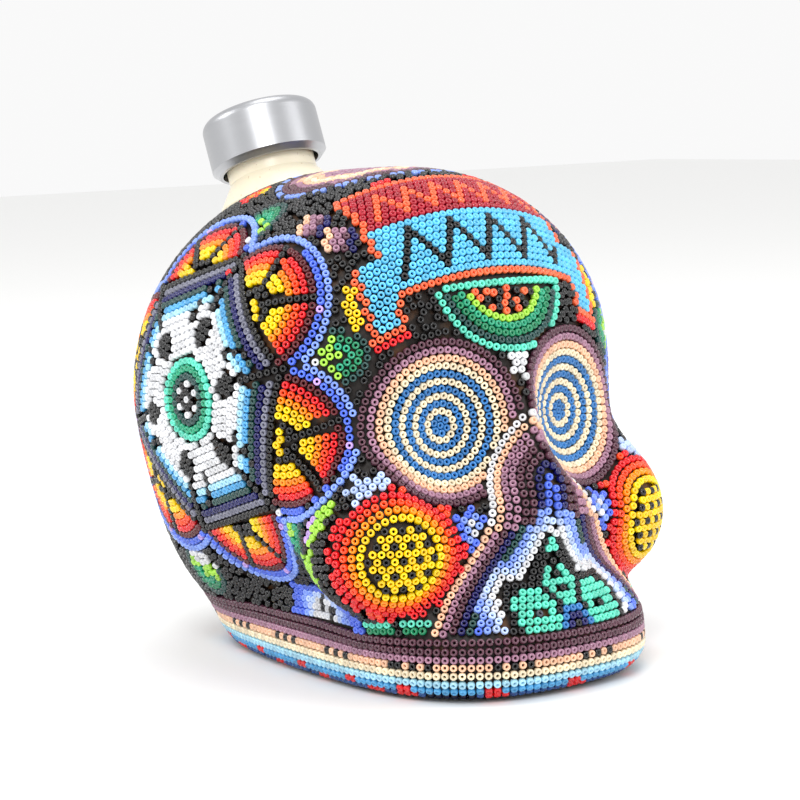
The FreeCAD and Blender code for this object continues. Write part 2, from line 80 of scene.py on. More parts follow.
class Tone(Enum):
    """Colours of glass bead, each an sRGB hex value."""

    BLACK = "0B0A0C"
    WHITE = "E2E3E6"
    CREAM = "F3E4C4"
    PEACH = "F4C3A0"
    MAUVE = "A5788F"
    PLUM = "5A3443"
    NAVY = "14145E"
    MIDNIGHT = "0D1036"
    PERIWINKLE = "4F70E6"
    CORNFLOWER = "83A2F4"
    PALE_BLUE = "BCD0F8"
    CYAN = "63C8F2"
    SKY = "4FA6DC"
    ICE = "A9DCF2"
    BLUE = "2E78BC"
    DEEP_BLUE = "1C4F92"
    TURQUOISE = "5FDCC0"
    JADE = "1FA077"
    GREEN = "14865A"
    PINE = "1B4744"
    LIME = "A6DE45"
    YELLOW = "FFD400"
    ORANGE = "FF9200"
    VERMILION = "FF4A16"
    RED = "E5161F"
    CRIMSON = "AE1029"
    MAROON = "5A0B16"
    CORAL = "FF6A3C"
    LILAC = "C7A4EC"
    HEMATITE = "4A4C56"
    CLEAR = "77788A"


TONES = list(Tone)
NUMBER = {tone: n for n, tone in enumerate(TONES)}
# Letters of the small bead charts.
KEY = {
    ".": None, "k": Tone.BLACK, "w": Tone.WHITE, "p": Tone.PEACH, "m": Tone.MAUVE, "u": Tone.PLUM,
    "n": Tone.NAVY, "P": Tone.PERIWINKLE, "C": Tone.CORNFLOWER, "b": Tone.PALE_BLUE,
    "y": Tone.YELLOW, "t": Tone.TURQUOISE, "g": Tone.GREEN, "T": Tone.PINE, "l": Tone.LIME,
    "r": Tone.RED, "o": Tone.ORANGE, "L": Tone.LILAC, "v": Tone.VERMILION,
}
# Strengths of one colour of glass, and how many of its beads have each.
STRENGTHS = (0.86, 1.0, 1.13)
SHARES = (0.25, 0.5, 0.25)


def add_node(tree: bpy.types.NodeTree, kind: str, settings: dict[str, Any] | None = None,
             links: dict[str | int, Any] | None = None) -> bpy.types.Node:
    """Adds a node, sets it up and links its inputs.

    Args:
        tree: The shader or geometry tree.
        kind: The node's type name.
        settings: Properties, and plain input values keyed by socket name or number after "in:".
        links: Source sockets, keyed by the name or number of the input they feed.

    Returns:
        The new node.
    """
    node = tree.nodes.new(kind)
    for name, value in (settings or {}).items():
        if name.startswith("in:"):
            label = name[3:]
            node.inputs[int(label) if label.isdigit() else label].default_value = value
        else:
            setattr(node, name, value)
    for name, source in (links or {}).items():
        tree.links.new(source, node.inputs[name])
    return node


def new_material(name: str, settings: dict[str, Any]) -> tuple[
        bpy.types.Material, bpy.types.NodeTree, bpy.types.Node]:
    """Node material with its shader and output in place.

    Args:
        name: The material's name.
        settings: Plain values of the Principled shader, as add_node takes them.

    Returns:
        The material, its tree and its Principled shader.
    """
    material = bpy.data.materials.new(name)
    material.use_nodes = True
    tree = material.node_tree
    tree.nodes.clear()
    shader = add_node(tree, "ShaderNodeBsdfPrincipled", settings)
    add_node(tree, "ShaderNodeOutputMaterial", links={"Surface": shader.outputs[0]})
    return material, tree, shader


def per_metre(size_mm: float) -> float:
    """Texture scale that repeats at a size in millimetres."""
    return 1000.0 / size_mm


@dataclass(frozen=True)
class SeedBeadGlass:
    """Opaque soda-lime seed bead, cut from drawn cane and tumbled hot until its ends round over.

    The fire polish gives each bead one small sharp highlight on its shoulder and another inside
    the rim of the hole. Beads of one colour come from different strings, so each colour has
    three strengths. All numbers stay on the shader's own sockets.
    """

    tone: Tone
    strength: float = 1.0
    roughness: float = 0.2
    ior: float = 1.51
    polish: float = 0.15
    polish_roughness: float = 0.06
    hematite_metal: float = 0.6

    def build(self) -> bpy.types.Material:
        """Makes the material."""
        red, green, blue = (min(1.0, c * self.strength) for c in linear(self.tone.value)[:3])
        name = f"seed_bead_{self.tone.name.lower()}_{self.strength:.2f}"
        material, _, _ = new_material(name, {
            "in:Base Color": (red, green, blue, 1.0), "in:Roughness": self.roughness,
            "in:IOR": self.ior, "in:Coat Weight": self.polish,
            "in:Coat Roughness": self.polish_roughness,
            "in:Metallic": self.hematite_metal if self.tone is Tone.HEMATITE else 0.0})
        return material


@dataclass(frozen=True)
class GlazedNeck:
    """Slip-cast stoneware under a satin cream glaze.

    The glaze pools a little warmer in broad clouds, shows fine iron specks and has the soft
    waviness that a fired glaze keeps, so highlights on the neck bend slightly.
    """

    cream: str = "EFE6D2"
    warm: str = "E2D3B4"
    speck: str = "B79F7A"
    cloud_mm: float = 22.0
    speck_mm: float = 0.9
    speck_rarity: tuple[float, float] = (0.72, 0.80)
    wave_mm: float = 6.0
    wave_depth_mm: float = 0.3
    wave_strength: float = 0.25
    roughness: tuple[float, float] = (0.24, 0.36)
    ior: float = 1.55
    depth: float = 0.05

    def build(self) -> bpy.types.Material:
        """Makes the material."""
        material, tree, shader = new_material("satin_cream_glaze", {
            "in:IOR": self.ior, "in:Subsurface Weight": self.depth})
        place = add_node(tree, "ShaderNodeTexCoord").outputs["Object"]
        cloud = add_node(tree, "ShaderNodeTexNoise", {"in:Scale": per_metre(self.cloud_mm),
                                                      "in:Detail": 3.0}, {"Vector": place})
        tint = add_node(tree, "ShaderNodeMix", {"data_type": "RGBA", "in:6": linear(self.cream),
                                                "in:7": linear(self.warm)},
                        {0: cloud.outputs[0]})
        grain = add_node(tree, "ShaderNodeTexNoise", {"in:Scale": per_metre(self.speck_mm),
                                                      "in:Detail": 1.0}, {"Vector": place})
        rare = add_node(tree, "ShaderNodeMapRange", {"in:1": self.speck_rarity[0],
                                                     "in:2": self.speck_rarity[1]},
                        {0: grain.outputs[0]})
        speckled = add_node(tree, "ShaderNodeMix", {"data_type": "RGBA",
                                                    "in:7": linear(self.speck)},
                            {0: rare.outputs[0], 6: tint.outputs[2]})
        tree.links.new(speckled.outputs[2], shader.inputs["Base Color"])
        wave = add_node(tree, "ShaderNodeTexNoise", {"in:Scale": per_metre(self.wave_mm),
                                                     "in:Detail": 2.0}, {"Vector": place})
        gloss = add_node(tree, "ShaderNodeMapRange", {"in:3": self.roughness[0],
                                                      "in:4": self.roughness[1]},
                         {0: wave.outputs[0]})
        tree.links.new(gloss.outputs[0], shader.inputs["Roughness"])
        bump = add_node(tree, "ShaderNodeBump", {"in:Strength": self.wave_strength,
                                                 "in:Distance": self.wave_depth_mm * MM},
                        {"Height": wave.outputs[0]})
        tree.links.new(bump.outputs[0], shader.inputs["Normal"])
        return material


@dataclass(frozen=True)
class CampecheWax:
    """Dark unrefined beeswax worked with pine resin and pressed on by thumb.

    It is brown-black with a dull sheen, shows honey-coloured patches where it is thin, and has
    dents about a fingertip's ridge apart.
    """

    dark: str = "1A110B"
    honey: str = "6B4420"
    patch_mm: float = 7.0
    patch_rarity: tuple[float, float] = (0.52, 0.72)
    dent_mm: float = 1.6
    dent_depth_mm: float = 0.4
    dent_strength: float = 0.5
    roughness: float = 0.55
    ior: float = 1.44

    def build(self) -> bpy.types.Material:
        """Makes the material."""
        material, tree, shader = new_material("resin_beeswax", {
            "in:Roughness": self.roughness, "in:IOR": self.ior})
        place = add_node(tree, "ShaderNodeTexCoord").outputs["Object"]
        patch = add_node(tree, "ShaderNodeTexNoise", {"in:Scale": per_metre(self.patch_mm),
                                                      "in:Detail": 4.0}, {"Vector": place})
        thin = add_node(tree, "ShaderNodeMapRange", {"in:1": self.patch_rarity[0],
                                                     "in:2": self.patch_rarity[1]},
                        {0: patch.outputs[0]})
        tint = add_node(tree, "ShaderNodeMix", {"data_type": "RGBA", "in:6": linear(self.dark),
                                                "in:7": linear(self.honey)},
                        {0: thin.outputs[0]})
        tree.links.new(tint.outputs[2], shader.inputs["Base Color"])
        dent = add_node(tree, "ShaderNodeTexNoise", {"in:Scale": per_metre(self.dent_mm)},
                        {"Vector": place})
        bump = add_node(tree, "ShaderNodeBump", {"in:Strength": self.dent_strength,
                                                 "in:Distance": self.dent_depth_mm * MM},
                        {"Height": dent.outputs[0]})
        tree.links.new(bump.outputs[0], shader.inputs["Normal"])
        return material


@dataclass(frozen=True)
class SatinAluminium:
    """Drawn aluminium cap, brushed round on a lathe and clear anodised.

    Fine hoops run round the leaning axis, so the highlight spreads into a soft vertical band,
    with a few deeper hoops left by the drawing.
    """

    colour: str = "B4B5B8"
    hoop_mm: float = 0.35
    hoop_depth_mm: float = 0.05
    hoop_strength: float = 0.18
    around: float = 12.0
    lean_degrees: float = 21.0
    roughness: tuple[float, float] = (0.26, 0.44)

    def build(self) -> bpy.types.Material:
        """Makes the material."""
        material, tree, shader = new_material("satin_anodised_aluminium", {
            "in:Base Color": linear(self.colour), "in:Metallic": 1.0})
        place = add_node(tree, "ShaderNodeTexCoord").outputs["Object"]
        upright = add_node(tree, "ShaderNodeMapping",
                           {"in:Rotation": (math.radians(self.lean_degrees), 0.0, 0.0)},
                           {"Vector": place})
        squeezed = add_node(tree, "ShaderNodeMapping",
                            {"in:Scale": (self.around, self.around, per_metre(self.hoop_mm))},
                            {"Vector": upright.outputs[0]})
        hoops = add_node(tree, "ShaderNodeTexNoise", {"in:Scale": 1.0, "in:Detail": 3.0},
                         {"Vector": squeezed.outputs[0]})
        gloss = add_node(tree, "ShaderNodeMapRange", {"in:3": self.roughness[0],
                                                      "in:4": self.roughness[1]},
                         {0: hoops.outputs[0]})
        tree.links.new(gloss.outputs[0], shader.inputs["Roughness"])
        bump = add_node(tree, "ShaderNodeBump", {"in:Strength": self.hoop_strength,
                                                 "in:Distance": self.hoop_depth_mm * MM},
                        {"Height": hoops.outputs[0]})
        tree.links.new(bump.outputs[0], shader.inputs["Normal"])
        return material


@dataclass(frozen=True)
class MouldedBlack:
    """Injection-moulded polypropylene with a spark-eroded texture, which greys its highlights."""

    colour: str = "17171A"
    grain_mm: float = 0.4
    grain_depth_mm: float = 0.06
    grain_strength: float = 0.2
    roughness: tuple[float, float] = (0.38, 0.55)
    ior: float = 1.49

    def build(self) -> bpy.types.Material:
        """Makes the material."""
        material, tree, shader = new_material("moulded_black_polypropylene", {
            "in:Base Color": linear(self.colour), "in:IOR": self.ior})
        place = add_node(tree, "ShaderNodeTexCoord").outputs["Object"]
        grain = add_node(tree, "ShaderNodeTexNoise", {"in:Scale": per_metre(self.grain_mm)},
                         {"Vector": place})
        gloss = add_node(tree, "ShaderNodeMapRange", {"in:3": self.roughness[0],
                                                      "in:4": self.roughness[1]},
                         {0: grain.outputs[0]})
        tree.links.new(gloss.outputs[0], shader.inputs["Roughness"])
        bump = add_node(tree, "ShaderNodeBump", {"in:Strength": self.grain_strength,
                                                 "in:Distance": self.grain_depth_mm * MM},
                        {"Height": grain.outputs[0]})
        tree.links.new(bump.outputs[0], shader.inputs["Normal"])
        return material


@dataclass(frozen=True)
class PressedCork:
    """Agglomerated cork, ground granules pressed and turned, with dark bark flecks between."""

    pale: str = "C79C68"
    brown: str = "8A5C34"
    granule_mm: float = 1.8
    pit_depth_mm: float = 0.2
    pit_strength: float = 0.5
    roughness: float = 0.8

    def build(self) -> bpy.types.Material:
        """Makes the material."""
        material, tree, shader = new_material("pressed_cork", {"in:Roughness": self.roughness})
        place = add_node(tree, "ShaderNodeTexCoord").outputs["Object"]
        cells = add_node(tree, "ShaderNodeTexVoronoi", {"in:Scale": per_metre(self.granule_mm)},
                         {"Vector": place})
        tint = add_node(tree, "ShaderNodeMix", {"data_type": "RGBA", "in:6": linear(self.pale),
                                                "in:7": linear(self.brown)},
                        {0: cells.outputs["Distance"]})
        tree.links.new(tint.outputs[2], shader.inputs["Base Color"])
        bump = add_node(tree, "ShaderNodeBump", {"in:Strength": self.pit_strength,
                                                 "in:Distance": self.pit_depth_mm * MM,
                                                 "invert": True},
                        {"Height": cells.outputs["Distance"]})
        tree.links.new(bump.outputs[0], shader.inputs["Normal"])
        return material


@dataclass(frozen=True)
class PaperSweep:
    """Matt white background paper."""

    colour: str = "F4F4F3"
    fibre_mm: float = 2.5
    fibre_depth_mm: float = 0.1
    fibre_strength: float = 0.05
    roughness: float = 0.9

    def build(self) -> bpy.types.Material:
        """Makes the material."""
        material, tree, shader = new_material("background_paper", {
            "in:Base Color": linear(self.colour), "in:Roughness": self.roughness})
        place = add_node(tree, "ShaderNodeTexCoord").outputs["Object"]
        fibre = add_node(tree, "ShaderNodeTexNoise", {"in:Scale": per_metre(self.fibre_mm)},
                         {"Vector": place})
        bump = add_node(tree, "ShaderNodeBump", {"in:Strength": self.fibre_strength,
                                                 "in:Distance": self.fibre_depth_mm * MM},
                        {"Height": fibre.outputs[0]})
        tree.links.new(bump.outputs[0], shader.inputs["Normal"])
        return material


# ---- Where beads go ----

def unit(vector: Sequence[float] | np.ndarray) -> np.ndarray:
    """The vector or rows of vectors at length 1."""
    v = np.asarray(vector, float)
    return v / np.maximum(np.linalg.norm(v, axis=-1, keepdims=True), TINY)


def landed(points: Points) -> Points:
    """The places that were found; a miss holds NaN."""
    return points[np.isfinite(points).all(1)]


def lengths(line: np.ndarray) -> np.ndarray:
    """Distance along a polyline to each of its corners."""
    return np.r_[0.0, np.cumsum(np.linalg.norm(np.diff(line, axis=0), axis=1))]


def walk(line: np.ndarray, run: np.ndarray, at: np.ndarray) -> np.ndarray:
    """Points of a polyline at the distances given, from the distances of its corners."""
    return np.stack([np.interp(at, run, line[:, k]) for k in range(line.shape[1])], axis=1)


def stagger(row: int) -> float:
    """How far a row is moved along, in beads: half a bead for every other row."""
    return 0.5 * (row % 2)


@dataclass
class Skin:
    """Outer face of the wax, in millimetres.

    Args:
        tree: Search tree over its triangles.
        corners: Vertex numbers of each triangle.
        spots: Vertex places.
        leans: Outward direction at each vertex.
    """

    tree: BVHTree
    corners: np.ndarray
    spots: np.ndarray
    leans: np.ndarray

    @classmethod
    def of_node(cls, node: bpy.types.Object, heart: tuple[float, float, float]) -> "Skin":
        """Outer face of a hollow coat.

        Args:
            node: The coat's object.
            heart: A point well inside, which every outer triangle faces away from.

        Returns:
            The skin.
        """
        mesh = node.data
        spots = np.empty(len(mesh.vertices) * 3)
        mesh.vertices.foreach_get("co", spots)
        mesh.calc_loop_triangles()
        corners = np.empty(len(mesh.loop_triangles) * 3, np.int64)
        mesh.loop_triangles.foreach_get("vertices", corners)
        merged, back = np.unique(np.round(spots.reshape(-1, 3) / MM, decimals=3), axis=0,
                                 return_inverse=True)
        corners = back.ravel()[corners.reshape(-1, 3)]
        a, b, c = (merged[corners[:, k]] for k in range(3))
        facing = np.cross(b - a, c - a)
        keep = ((a - np.array(heart)) * facing).sum(1) > TINY
        corners, facing = corners[keep], facing[keep]
        leans = np.zeros_like(merged)
        for k in range(3):
            np.add.at(leans, corners[:, k], facing)
        return cls(BVHTree.FromPolygons(merged.tolist(), corners.tolist()), corners, merged,
                   unit(leans))

    def settle(self, points: Points) -> tuple[Points, Points]:
        """Nearest places on the skin, and the smooth outward directions there.

        Args:
            points: Places near the skin.

        Returns:
            Places and directions, one row each.
        """
        places = np.empty((len(points), 3))
        faces = np.empty(len(points), np.int64)
        for n, p in enumerate(points):
            place, _, faces[n], _ = self.tree.find_nearest(Vector(p))
            places[n] = place
        a, b, c = (self.spots[self.corners[faces, k]] for k in range(3))
        area = np.maximum(np.linalg.norm(np.cross(b - a, c - a), axis=1), TINY)
        share_a = np.linalg.norm(np.cross(b - places, c - places), axis=1) / area
        share_b = np.linalg.norm(np.cross(c - places, a - places), axis=1) / area
        share_c = np.clip(1.0 - share_a - share_b, 0.0, 1.0)
        la, lb, lc = (self.leans[self.corners[faces, k]] for k in range(3))
        return places, unit(la * share_a[:, None] + lb * share_b[:, None] + lc * share_c[:, None])

    def sprinkle(self, count: int, seed: int) -> Points:
        """Even random places all over the skin.

        Args:
            count: How many.
            seed: Fixed seed.

        Returns:
            The places.
        """
        rng = np.random.default_rng(seed)
        a, b, c = (self.spots[self.corners[:, k]] for k in range(3))
        area = np.linalg.norm(np.cross(b - a, c - a), axis=1)
        pick = rng.choice(len(area), count, p=area / area.sum())
        u, v = rng.random((2, count))
        flip = u + v > 1.0
        u[flip], v[flip] = 1.0 - u[flip], 1.0 - v[flip]
        return a[pick] + (b - a)[pick] * u[:, None] + (c - a)[pick] * v[:, None]


@dataclass
class Chart:
    """Flat sheet held against the skin, along which pictures are drawn.

    Args:
        skin: The surface.
        centre: Where the sheet's origin touches, in millimetres.
        out: Direction away from the skull.
        up: Direction that becomes the sheet's second axis.
        reach: How far out the drop on the skin starts.
        overreach: Length of the drop, as a multiple of reach.
        rounds: How often a distance is corrected.
    """

    skin: Skin
    centre: Sequence[float]
    out: Sequence[float]
    up: Sequence[float] = (0.0, 0.0, 1.0)
    reach: float = 45.0
    overreach: float = 2.2
    rounds: int = 4

    def __post_init__(self) -> None:
        """Squares the axes."""
        self.centre = np.array(self.centre, float)
        self.out = unit(self.out)
        self.across = unit(np.cross(self.up, self.out))
        self.up = np.cross(self.out, self.across)
        self.middle = self.place(np.zeros((1, 2)))[0]

    def place(self, flat: np.ndarray) -> Points:
        """Drops points of the sheet on the skin; a miss gives NaN.

        Args:
            flat: Sheet coordinates, one row each.

        Returns:
            Places on the skin.
        """
        starts = (self.centre + flat[:, :1] * self.across + flat[:, 1:2] * self.up
                  + self.out * self.reach)
        found = np.full((len(flat), 3), np.nan)
        inward = Vector(-self.out)
        for n, start in enumerate(starts):
            hit = self.skin.tree.ray_cast(Vector(start), inward, self.reach * self.overreach)[0]
            if hit is not None:
                found[n] = hit
        return found

    def flatten(self, points: Points) -> np.ndarray:
        """Sheet coordinates of places."""
        away = points - self.centre
        return np.stack([away @ self.across, away @ self.up], axis=1)

    def polar(self, radius: np.ndarray, angle: np.ndarray) -> Points:
        """Places at true distances from the middle.

        Args:
            radius: Straight-line distances.
            angle: Angles from the sheet's first axis.

        Returns:
            Places on the skin.
        """
        way = np.stack([np.cos(angle), np.sin(angle)], axis=1)
        run = np.array(radius, float)
        for _ in range(self.rounds):
            found = self.place(way * run[:, None])
            true = np.linalg.norm(found - self.middle, axis=1)
            run = run * np.clip(np.nan_to_num(radius / np.maximum(true, HAIR), nan=1.0), 0.5, 1.5)
        return found

    def polar_of(self, flat: np.ndarray) -> Points:
        """Places whose true distances from the middle are those of sheet points."""
        return self.polar(np.linalg.norm(flat, axis=1) + HAIR, np.arctan2(flat[:, 1], flat[:, 0]))

    @classmethod
    def at(cls, skin: Skin, spot: Sequence[float], up: Sequence[float], turn: float = 0.0) -> "Chart":
        """Sheet that lies square on the skin at a spot.

        Args:
            skin: The surface.
            spot: A place near it.
            up: Rough direction of the second axis.
            turn: Degrees to turn the sheet anticlockwise, seen from outside.

        Returns:
            The chart.
        """
        place, lean = skin.settle(np.array([spot], float))
        flat = cls(skin, place[0], lean[0], up)
        if turn:
            a = math.radians(turn)
            return cls(skin, place[0], lean[0], flat.up * math.cos(a) - flat.across * math.sin(a))
        return flat


def inside(outline: np.ndarray, flat: np.ndarray) -> np.ndarray:
    """Which sheet points lie inside a closed outline.

    Args:
        outline: Corners in order.
        flat: Sheet coordinates.

    Returns:
        True where inside.
    """
    x, y = flat[:, 0], flat[:, 1]
    result = np.zeros(len(flat), bool)
    for (ax, ay), (bx, by) in zip(outline, np.roll(outline, -1, axis=0)):
        if ay == by:
            continue
        crosses = (ay > y) != (by > y)
        result ^= crosses & (x < (bx - ax) * (y - ay) / (by - ay) + ax)
    return result


def dense(line: np.ndarray, step: float, closed: bool) -> np.ndarray:
    """Points along a polyline at even steps.

    Args:
        line: Corners in order.
        step: Longest spacing.
        closed: True if the last corner joins the first.

    Returns:
        The points.
    """
    corners = np.vstack([line, line[:1]]) if closed else line
    run = lengths(corners)
    if run[-1] < TINY:
        return corners[:1]
    count = max(1, int(round(run[-1] / step)))
    at = np.arange(count if closed else count + 1) * run[-1] / count
    return walk(corners, run, at)


def level_lines(height: np.ndarray, level: float) -> list[tuple[np.ndarray, bool]]:
    """Lines of equal height on a square grid.

    Args:
        height: Grid of heights; NaN where there is none.
        level: The height to trace.

    Returns:
        Lines in grid steps, each with whether it closes.
    """
    above = height > level
    holes = np.isnan(height)
    kind = (above[:-1, :-1] * 1 + above[1:, :-1] * 2 + above[1:, 1:] * 4 + above[:-1, 1:] * 8)
    broken = holes[:-1, :-1] | holes[1:, :-1] | holes[1:, 1:] | holes[:-1, 1:]
    pairs = {1: ((3, 0),), 2: ((0, 1),), 3: ((3, 1),), 4: ((1, 2),), 5: ((3, 2), (0, 1)),
             6: ((0, 2),), 7: ((3, 2),), 8: ((2, 3),), 9: ((2, 0),), 10: ((3, 0), (1, 2)),
             11: ((2, 1),), 12: ((1, 3),), 13: ((1, 0),), 14: ((0, 3),)}
    near: dict[tuple[int, int, int], list[tuple[int, int, int]]] = {}
    for i, j in np.argwhere((kind > 0) & (kind < 15) & ~broken).tolist():
        sides = ((i, j, 0), (i + 1, j, 1), (i, j + 1, 0), (i, j, 1))
        for one, two in pairs[int(kind[i, j])]:
            near.setdefault(sides[one], []).append(sides[two])
            near.setdefault(sides[two], []).append(sides[one])

    def spot(edge: tuple[int, int, int]) -> tuple[float, float]:
        """Where the level crosses one grid edge."""
        i, j, upright = edge
        low, high = height[i, j], height[i + (not upright), j + upright]
        t = (level - low) / (high - low) if high != low else 0.5
        return (i + t * (not upright), j + t * upright)

    lines = []
    used: set[tuple[int, int, int]] = set()
    for start in sorted(near, key=lambda e: len(near[e])):
        if start in used:
            continue
        chain, here = [start], start
        used.add(start)
        while True:
            onward = [e for e in near[here] if e not in used]
            if not onward:
                break
            here = onward[0]
            used.add(here)
            chain.append(here)
        closed = len(chain) > 3 and chain[0] in near[chain[-1]]
        lines.append((np.array([spot(e) for e in chain]), closed))
    return lines


@dataclass
class BeadSizes:
    """Size 11/0 seed beads, in millimetres.

    Args:
        across: Outer width.
        hole: Width of the hole.
        tall: Height along the hole.
        gap: Spacing along a row.
        pitch: Spacing of rows.
        least: Closest that two beads may be laid.
        rise: Height of a bead's middle over the wax.
    """

    across: float = 2.1
    hole: float = 0.64
    tall: float = 1.75
    gap: float = 2.07
    pitch: float = 1.93
    least: float = 1.80
    rise: float = 1.12


SIZES = BeadSizes()


@dataclass
class BeadBook:
    """Every bead laid so far, with a coarse grid for finding neighbours."""

    spots: list[np.ndarray] = field(default_factory=list)
    tones: list[int] = field(default_factory=list)
    pieces: list[str] = field(default_factory=list)
    cells: dict[tuple[int, int, int], list[int]] = field(default_factory=dict)

    def nearest(self, spot: np.ndarray) -> float:
        """Distance to the nearest bead, or FAR where none is close.

        Args:
            spot: A place on the skin, in millimetres.
        """
        x, y, z = (int(c // CELL) for c in spot)
        best = FAR * FAR
        for i in (x - 1, x, x + 1):
            for j in (y - 1, y, y + 1):
                for k in (z - 1, z, z + 1):
                    for n in self.cells.get((i, j, k), ()):
                        d = self.spots[n] - spot
                        best = min(best, float(d @ d))
        return math.sqrt(best)

    def lay(self, spot: np.ndarray, tone: int, piece: str, least: float = SIZES.least) -> bool:
        """Lays one bead unless it would sit in another.

        Args:
            spot: Place on the skin.
            tone: Number of its colour.
            piece: Name of the mat it belongs to.
            least: Smallest distance to another bead.

        Returns:
            True if it was laid.
        """
        if not np.isfinite(spot).all() or self.nearest(spot) < least:
            return False
        self.cells.setdefault(tuple(int(c // CELL) for c in spot), []).append(len(self.spots))
        self.spots.append(np.asarray(spot, float))
        self.tones.append(tone)
        self.pieces.append(piece)
        return True

    def lay_both(self, spots: Points, tones: Iterable[int], piece: str, sides: bool,
                 least: float = SIZES.least) -> None:
        """Lays beads and, for a picture that both sides carry, their mirror images.

        Args:
            spots: Places on the skin's right side.
            tones: One colour number each.
            piece: Mat name; "{}" in it takes the side.
            sides: True to mirror.
            least: Smallest distance to another bead.
        """
        for spot, tone in zip(spots, tones):
            self.lay(spot, int(tone), piece.format("right"), least)
            if sides:
                self.lay(spot * (-1.0, 1.0, 1.0), int(tone), piece.format("left"), least)

    def lay_plain(self, spots: Points, tone: Tone, piece: str, sides: bool,
                  least: float = SIZES.least) -> None:
        """Lays beads of one colour, as lay_both does."""
        self.lay_both(spots, [NUMBER[tone]] * len(spots), piece, sides, least)


@dataclass
class Picture:
    """An area of beadwork that is filled by rows nested inside its outline.

    Args:
        piece: Mat name; "{}" in it takes the side.
        chart: Sheet it is drawn on.
        outline: Its corners on the sheet.
        rule: Gives colour numbers from row numbers and sheet coordinates.
        sides: True if it is repeated mirrored on the left.
        hems: The lines that rows follow, if not the whole outline.
        hem_step: Spacing of the points that stand for a hem.
        grid_step: Spacing of the grid on which depths are taken.
        margin: How far the grid goes past the outline.
        least_facing: How squarely a place has to face the sheet to belong.
        thickness: How far in front of or behind the middle a place may be.
    """

    piece: str
    chart: Chart
    outline: np.ndarray
    rule: Rule
    sides: bool = False
    hems: list[np.ndarray] | None = None
    hem_step: float = 0.6
    grid_step: float = 0.8
    margin: float = 1.4
    least_facing: float = 0.12
    thickness: float = 34.0

    def __post_init__(self) -> None:
        """Puts the hems on the skin."""
        self.outline = np.asarray(self.outline, float)
        if self.hems is None:
            flat = dense(self.outline, self.hem_step, True)
        else:
            flat = np.vstack([dense(np.asarray(h, float), self.hem_step, False) for h in self.hems])
        self.hem = landed(self.chart.place(flat))

    def depth(self, points: Points) -> np.ndarray:
        """Straight distance from each place to the nearest hem.

        Args:
            points: Places near the skin.
        """
        best = np.full(len(points), 1e9)
        batch = 64
        for k in range(0, len(self.hem), batch):
            gap = points[:, None, :] - self.hem[None, k:k + batch, :]
            best = np.minimum(best, (gap * gap).sum(2).min(1))
        return np.sqrt(best)

    def row_of(self, points: Points) -> np.ndarray:
        """Row number of each place."""
        return np.floor(self.depth(points) / SIZES.pitch)

    def fill(self, book: BeadBook) -> None:
        """Lays the rows, outermost first.

        Args:
            book: Where beads go.
        """
        low, high = self.outline.min(0) - self.margin, self.outline.max(0) + self.margin
        step = self.grid_step
        nx, ny = (int(math.ceil(s / step)) + 1 for s in high - low)
        i, j = np.meshgrid(np.arange(nx), np.arange(ny), indexing="ij")
        flat = np.stack([low[0] + i.ravel() * step, low[1] + j.ravel() * step], axis=1)
        points = self.chart.place(flat)
        height = self.depth(np.nan_to_num(points))
        height[~inside(self.outline, flat)] *= -1.0
        height[~np.isfinite(points).all(1)] = np.nan
        height = height.reshape(nx, ny)
        row = 0
        while lines := level_lines(height, (row + 0.5) * SIZES.pitch):
            for line, closed in lines:
                self.lay_row(book, low + line * step, closed, row)
            row += 1

    def lay_row(self, book: BeadBook, line: np.ndarray, closed: bool, row: int) -> None:
        """Lays one line of a row.

        Args:
            book: Where beads go.
            line: The line on the sheet.
            closed: True if its end joins its start.
            row: The row's number.
        """
        spots = landed(self.chart.place(line))
        if len(spots) < 3:
            return
        beads = dense(spots, SIZES.gap, closed)
        flat = self.chart.flatten(beads)
        keep = inside(self.outline, flat)
        tones = self.rule(np.full(len(beads), row), flat)
        book.lay_both(beads[keep], tones[keep], self.piece, self.sides)

    def claims(self, points: Points, leans: Points) -> np.ndarray:
        """Which places on the right or middle of the skull belong to this picture."""
        facing = leans @ self.chart.out > self.least_facing
        near = np.abs((points - self.chart.middle) @ self.chart.out) < self.thickness
        return facing & near & inside(self.outline, self.chart.flatten(points))


def ring(centre: Sequence[float], radius: float, count: int = 60, start: float = 0.0,
         sweep: float = 360.0) -> np.ndarray:
    """Points of an arc on a sheet."""
    a = np.radians(start + sweep * np.arange(count) / (count if sweep >= 360.0 else count - 1))
    return np.array(centre) + radius * np.stack([np.cos(a), np.sin(a)], axis=1)


def graded(*tones: Tone) -> Rule:
    """Rule that gives each row its own colour, and the last to all deeper rows."""
    numbers = np.array([NUMBER[t] for t in tones])

    def rule(rows: np.ndarray, flat: np.ndarray) -> np.ndarray:
        """Colour numbers of the rows."""
        return numbers[np.clip(rows.astype(int), 0, len(numbers) - 1)]

    return rule


def lay_chart(book: BeadBook, chart: Chart, rows: Sequence[str], piece: str, sides: bool) -> None:
    """Lays a small bead chart, its top row first, centred on a sheet's middle.

    Args:
        book: Where beads go.
        chart: The sheet, square on the skin.
        rows: One letter for each bead; a dot leaves a place empty.
        piece: Mat name; "{}" in it takes the side.
        sides: True to mirror it.
    """
    squeeze, least = 0.97, 1.6
    widest = max(len(r) for r in rows)
    flat, tones = [], []
    for j, letters in enumerate(rows):
        for i, letter in enumerate(letters):
            if KEY[letter] is not None:
                flat.append(((i - (widest - 1) / 2.0 + stagger(j)) * SIZES.gap,
                             ((len(rows) - 1) / 2.0 - j) * SIZES.pitch * squeeze))
                tones.append(NUMBER[KEY[letter]])
    book.lay_both(chart.polar_of(np.array(flat)), tones, piece, sides, least)


# ---- The pictures ----

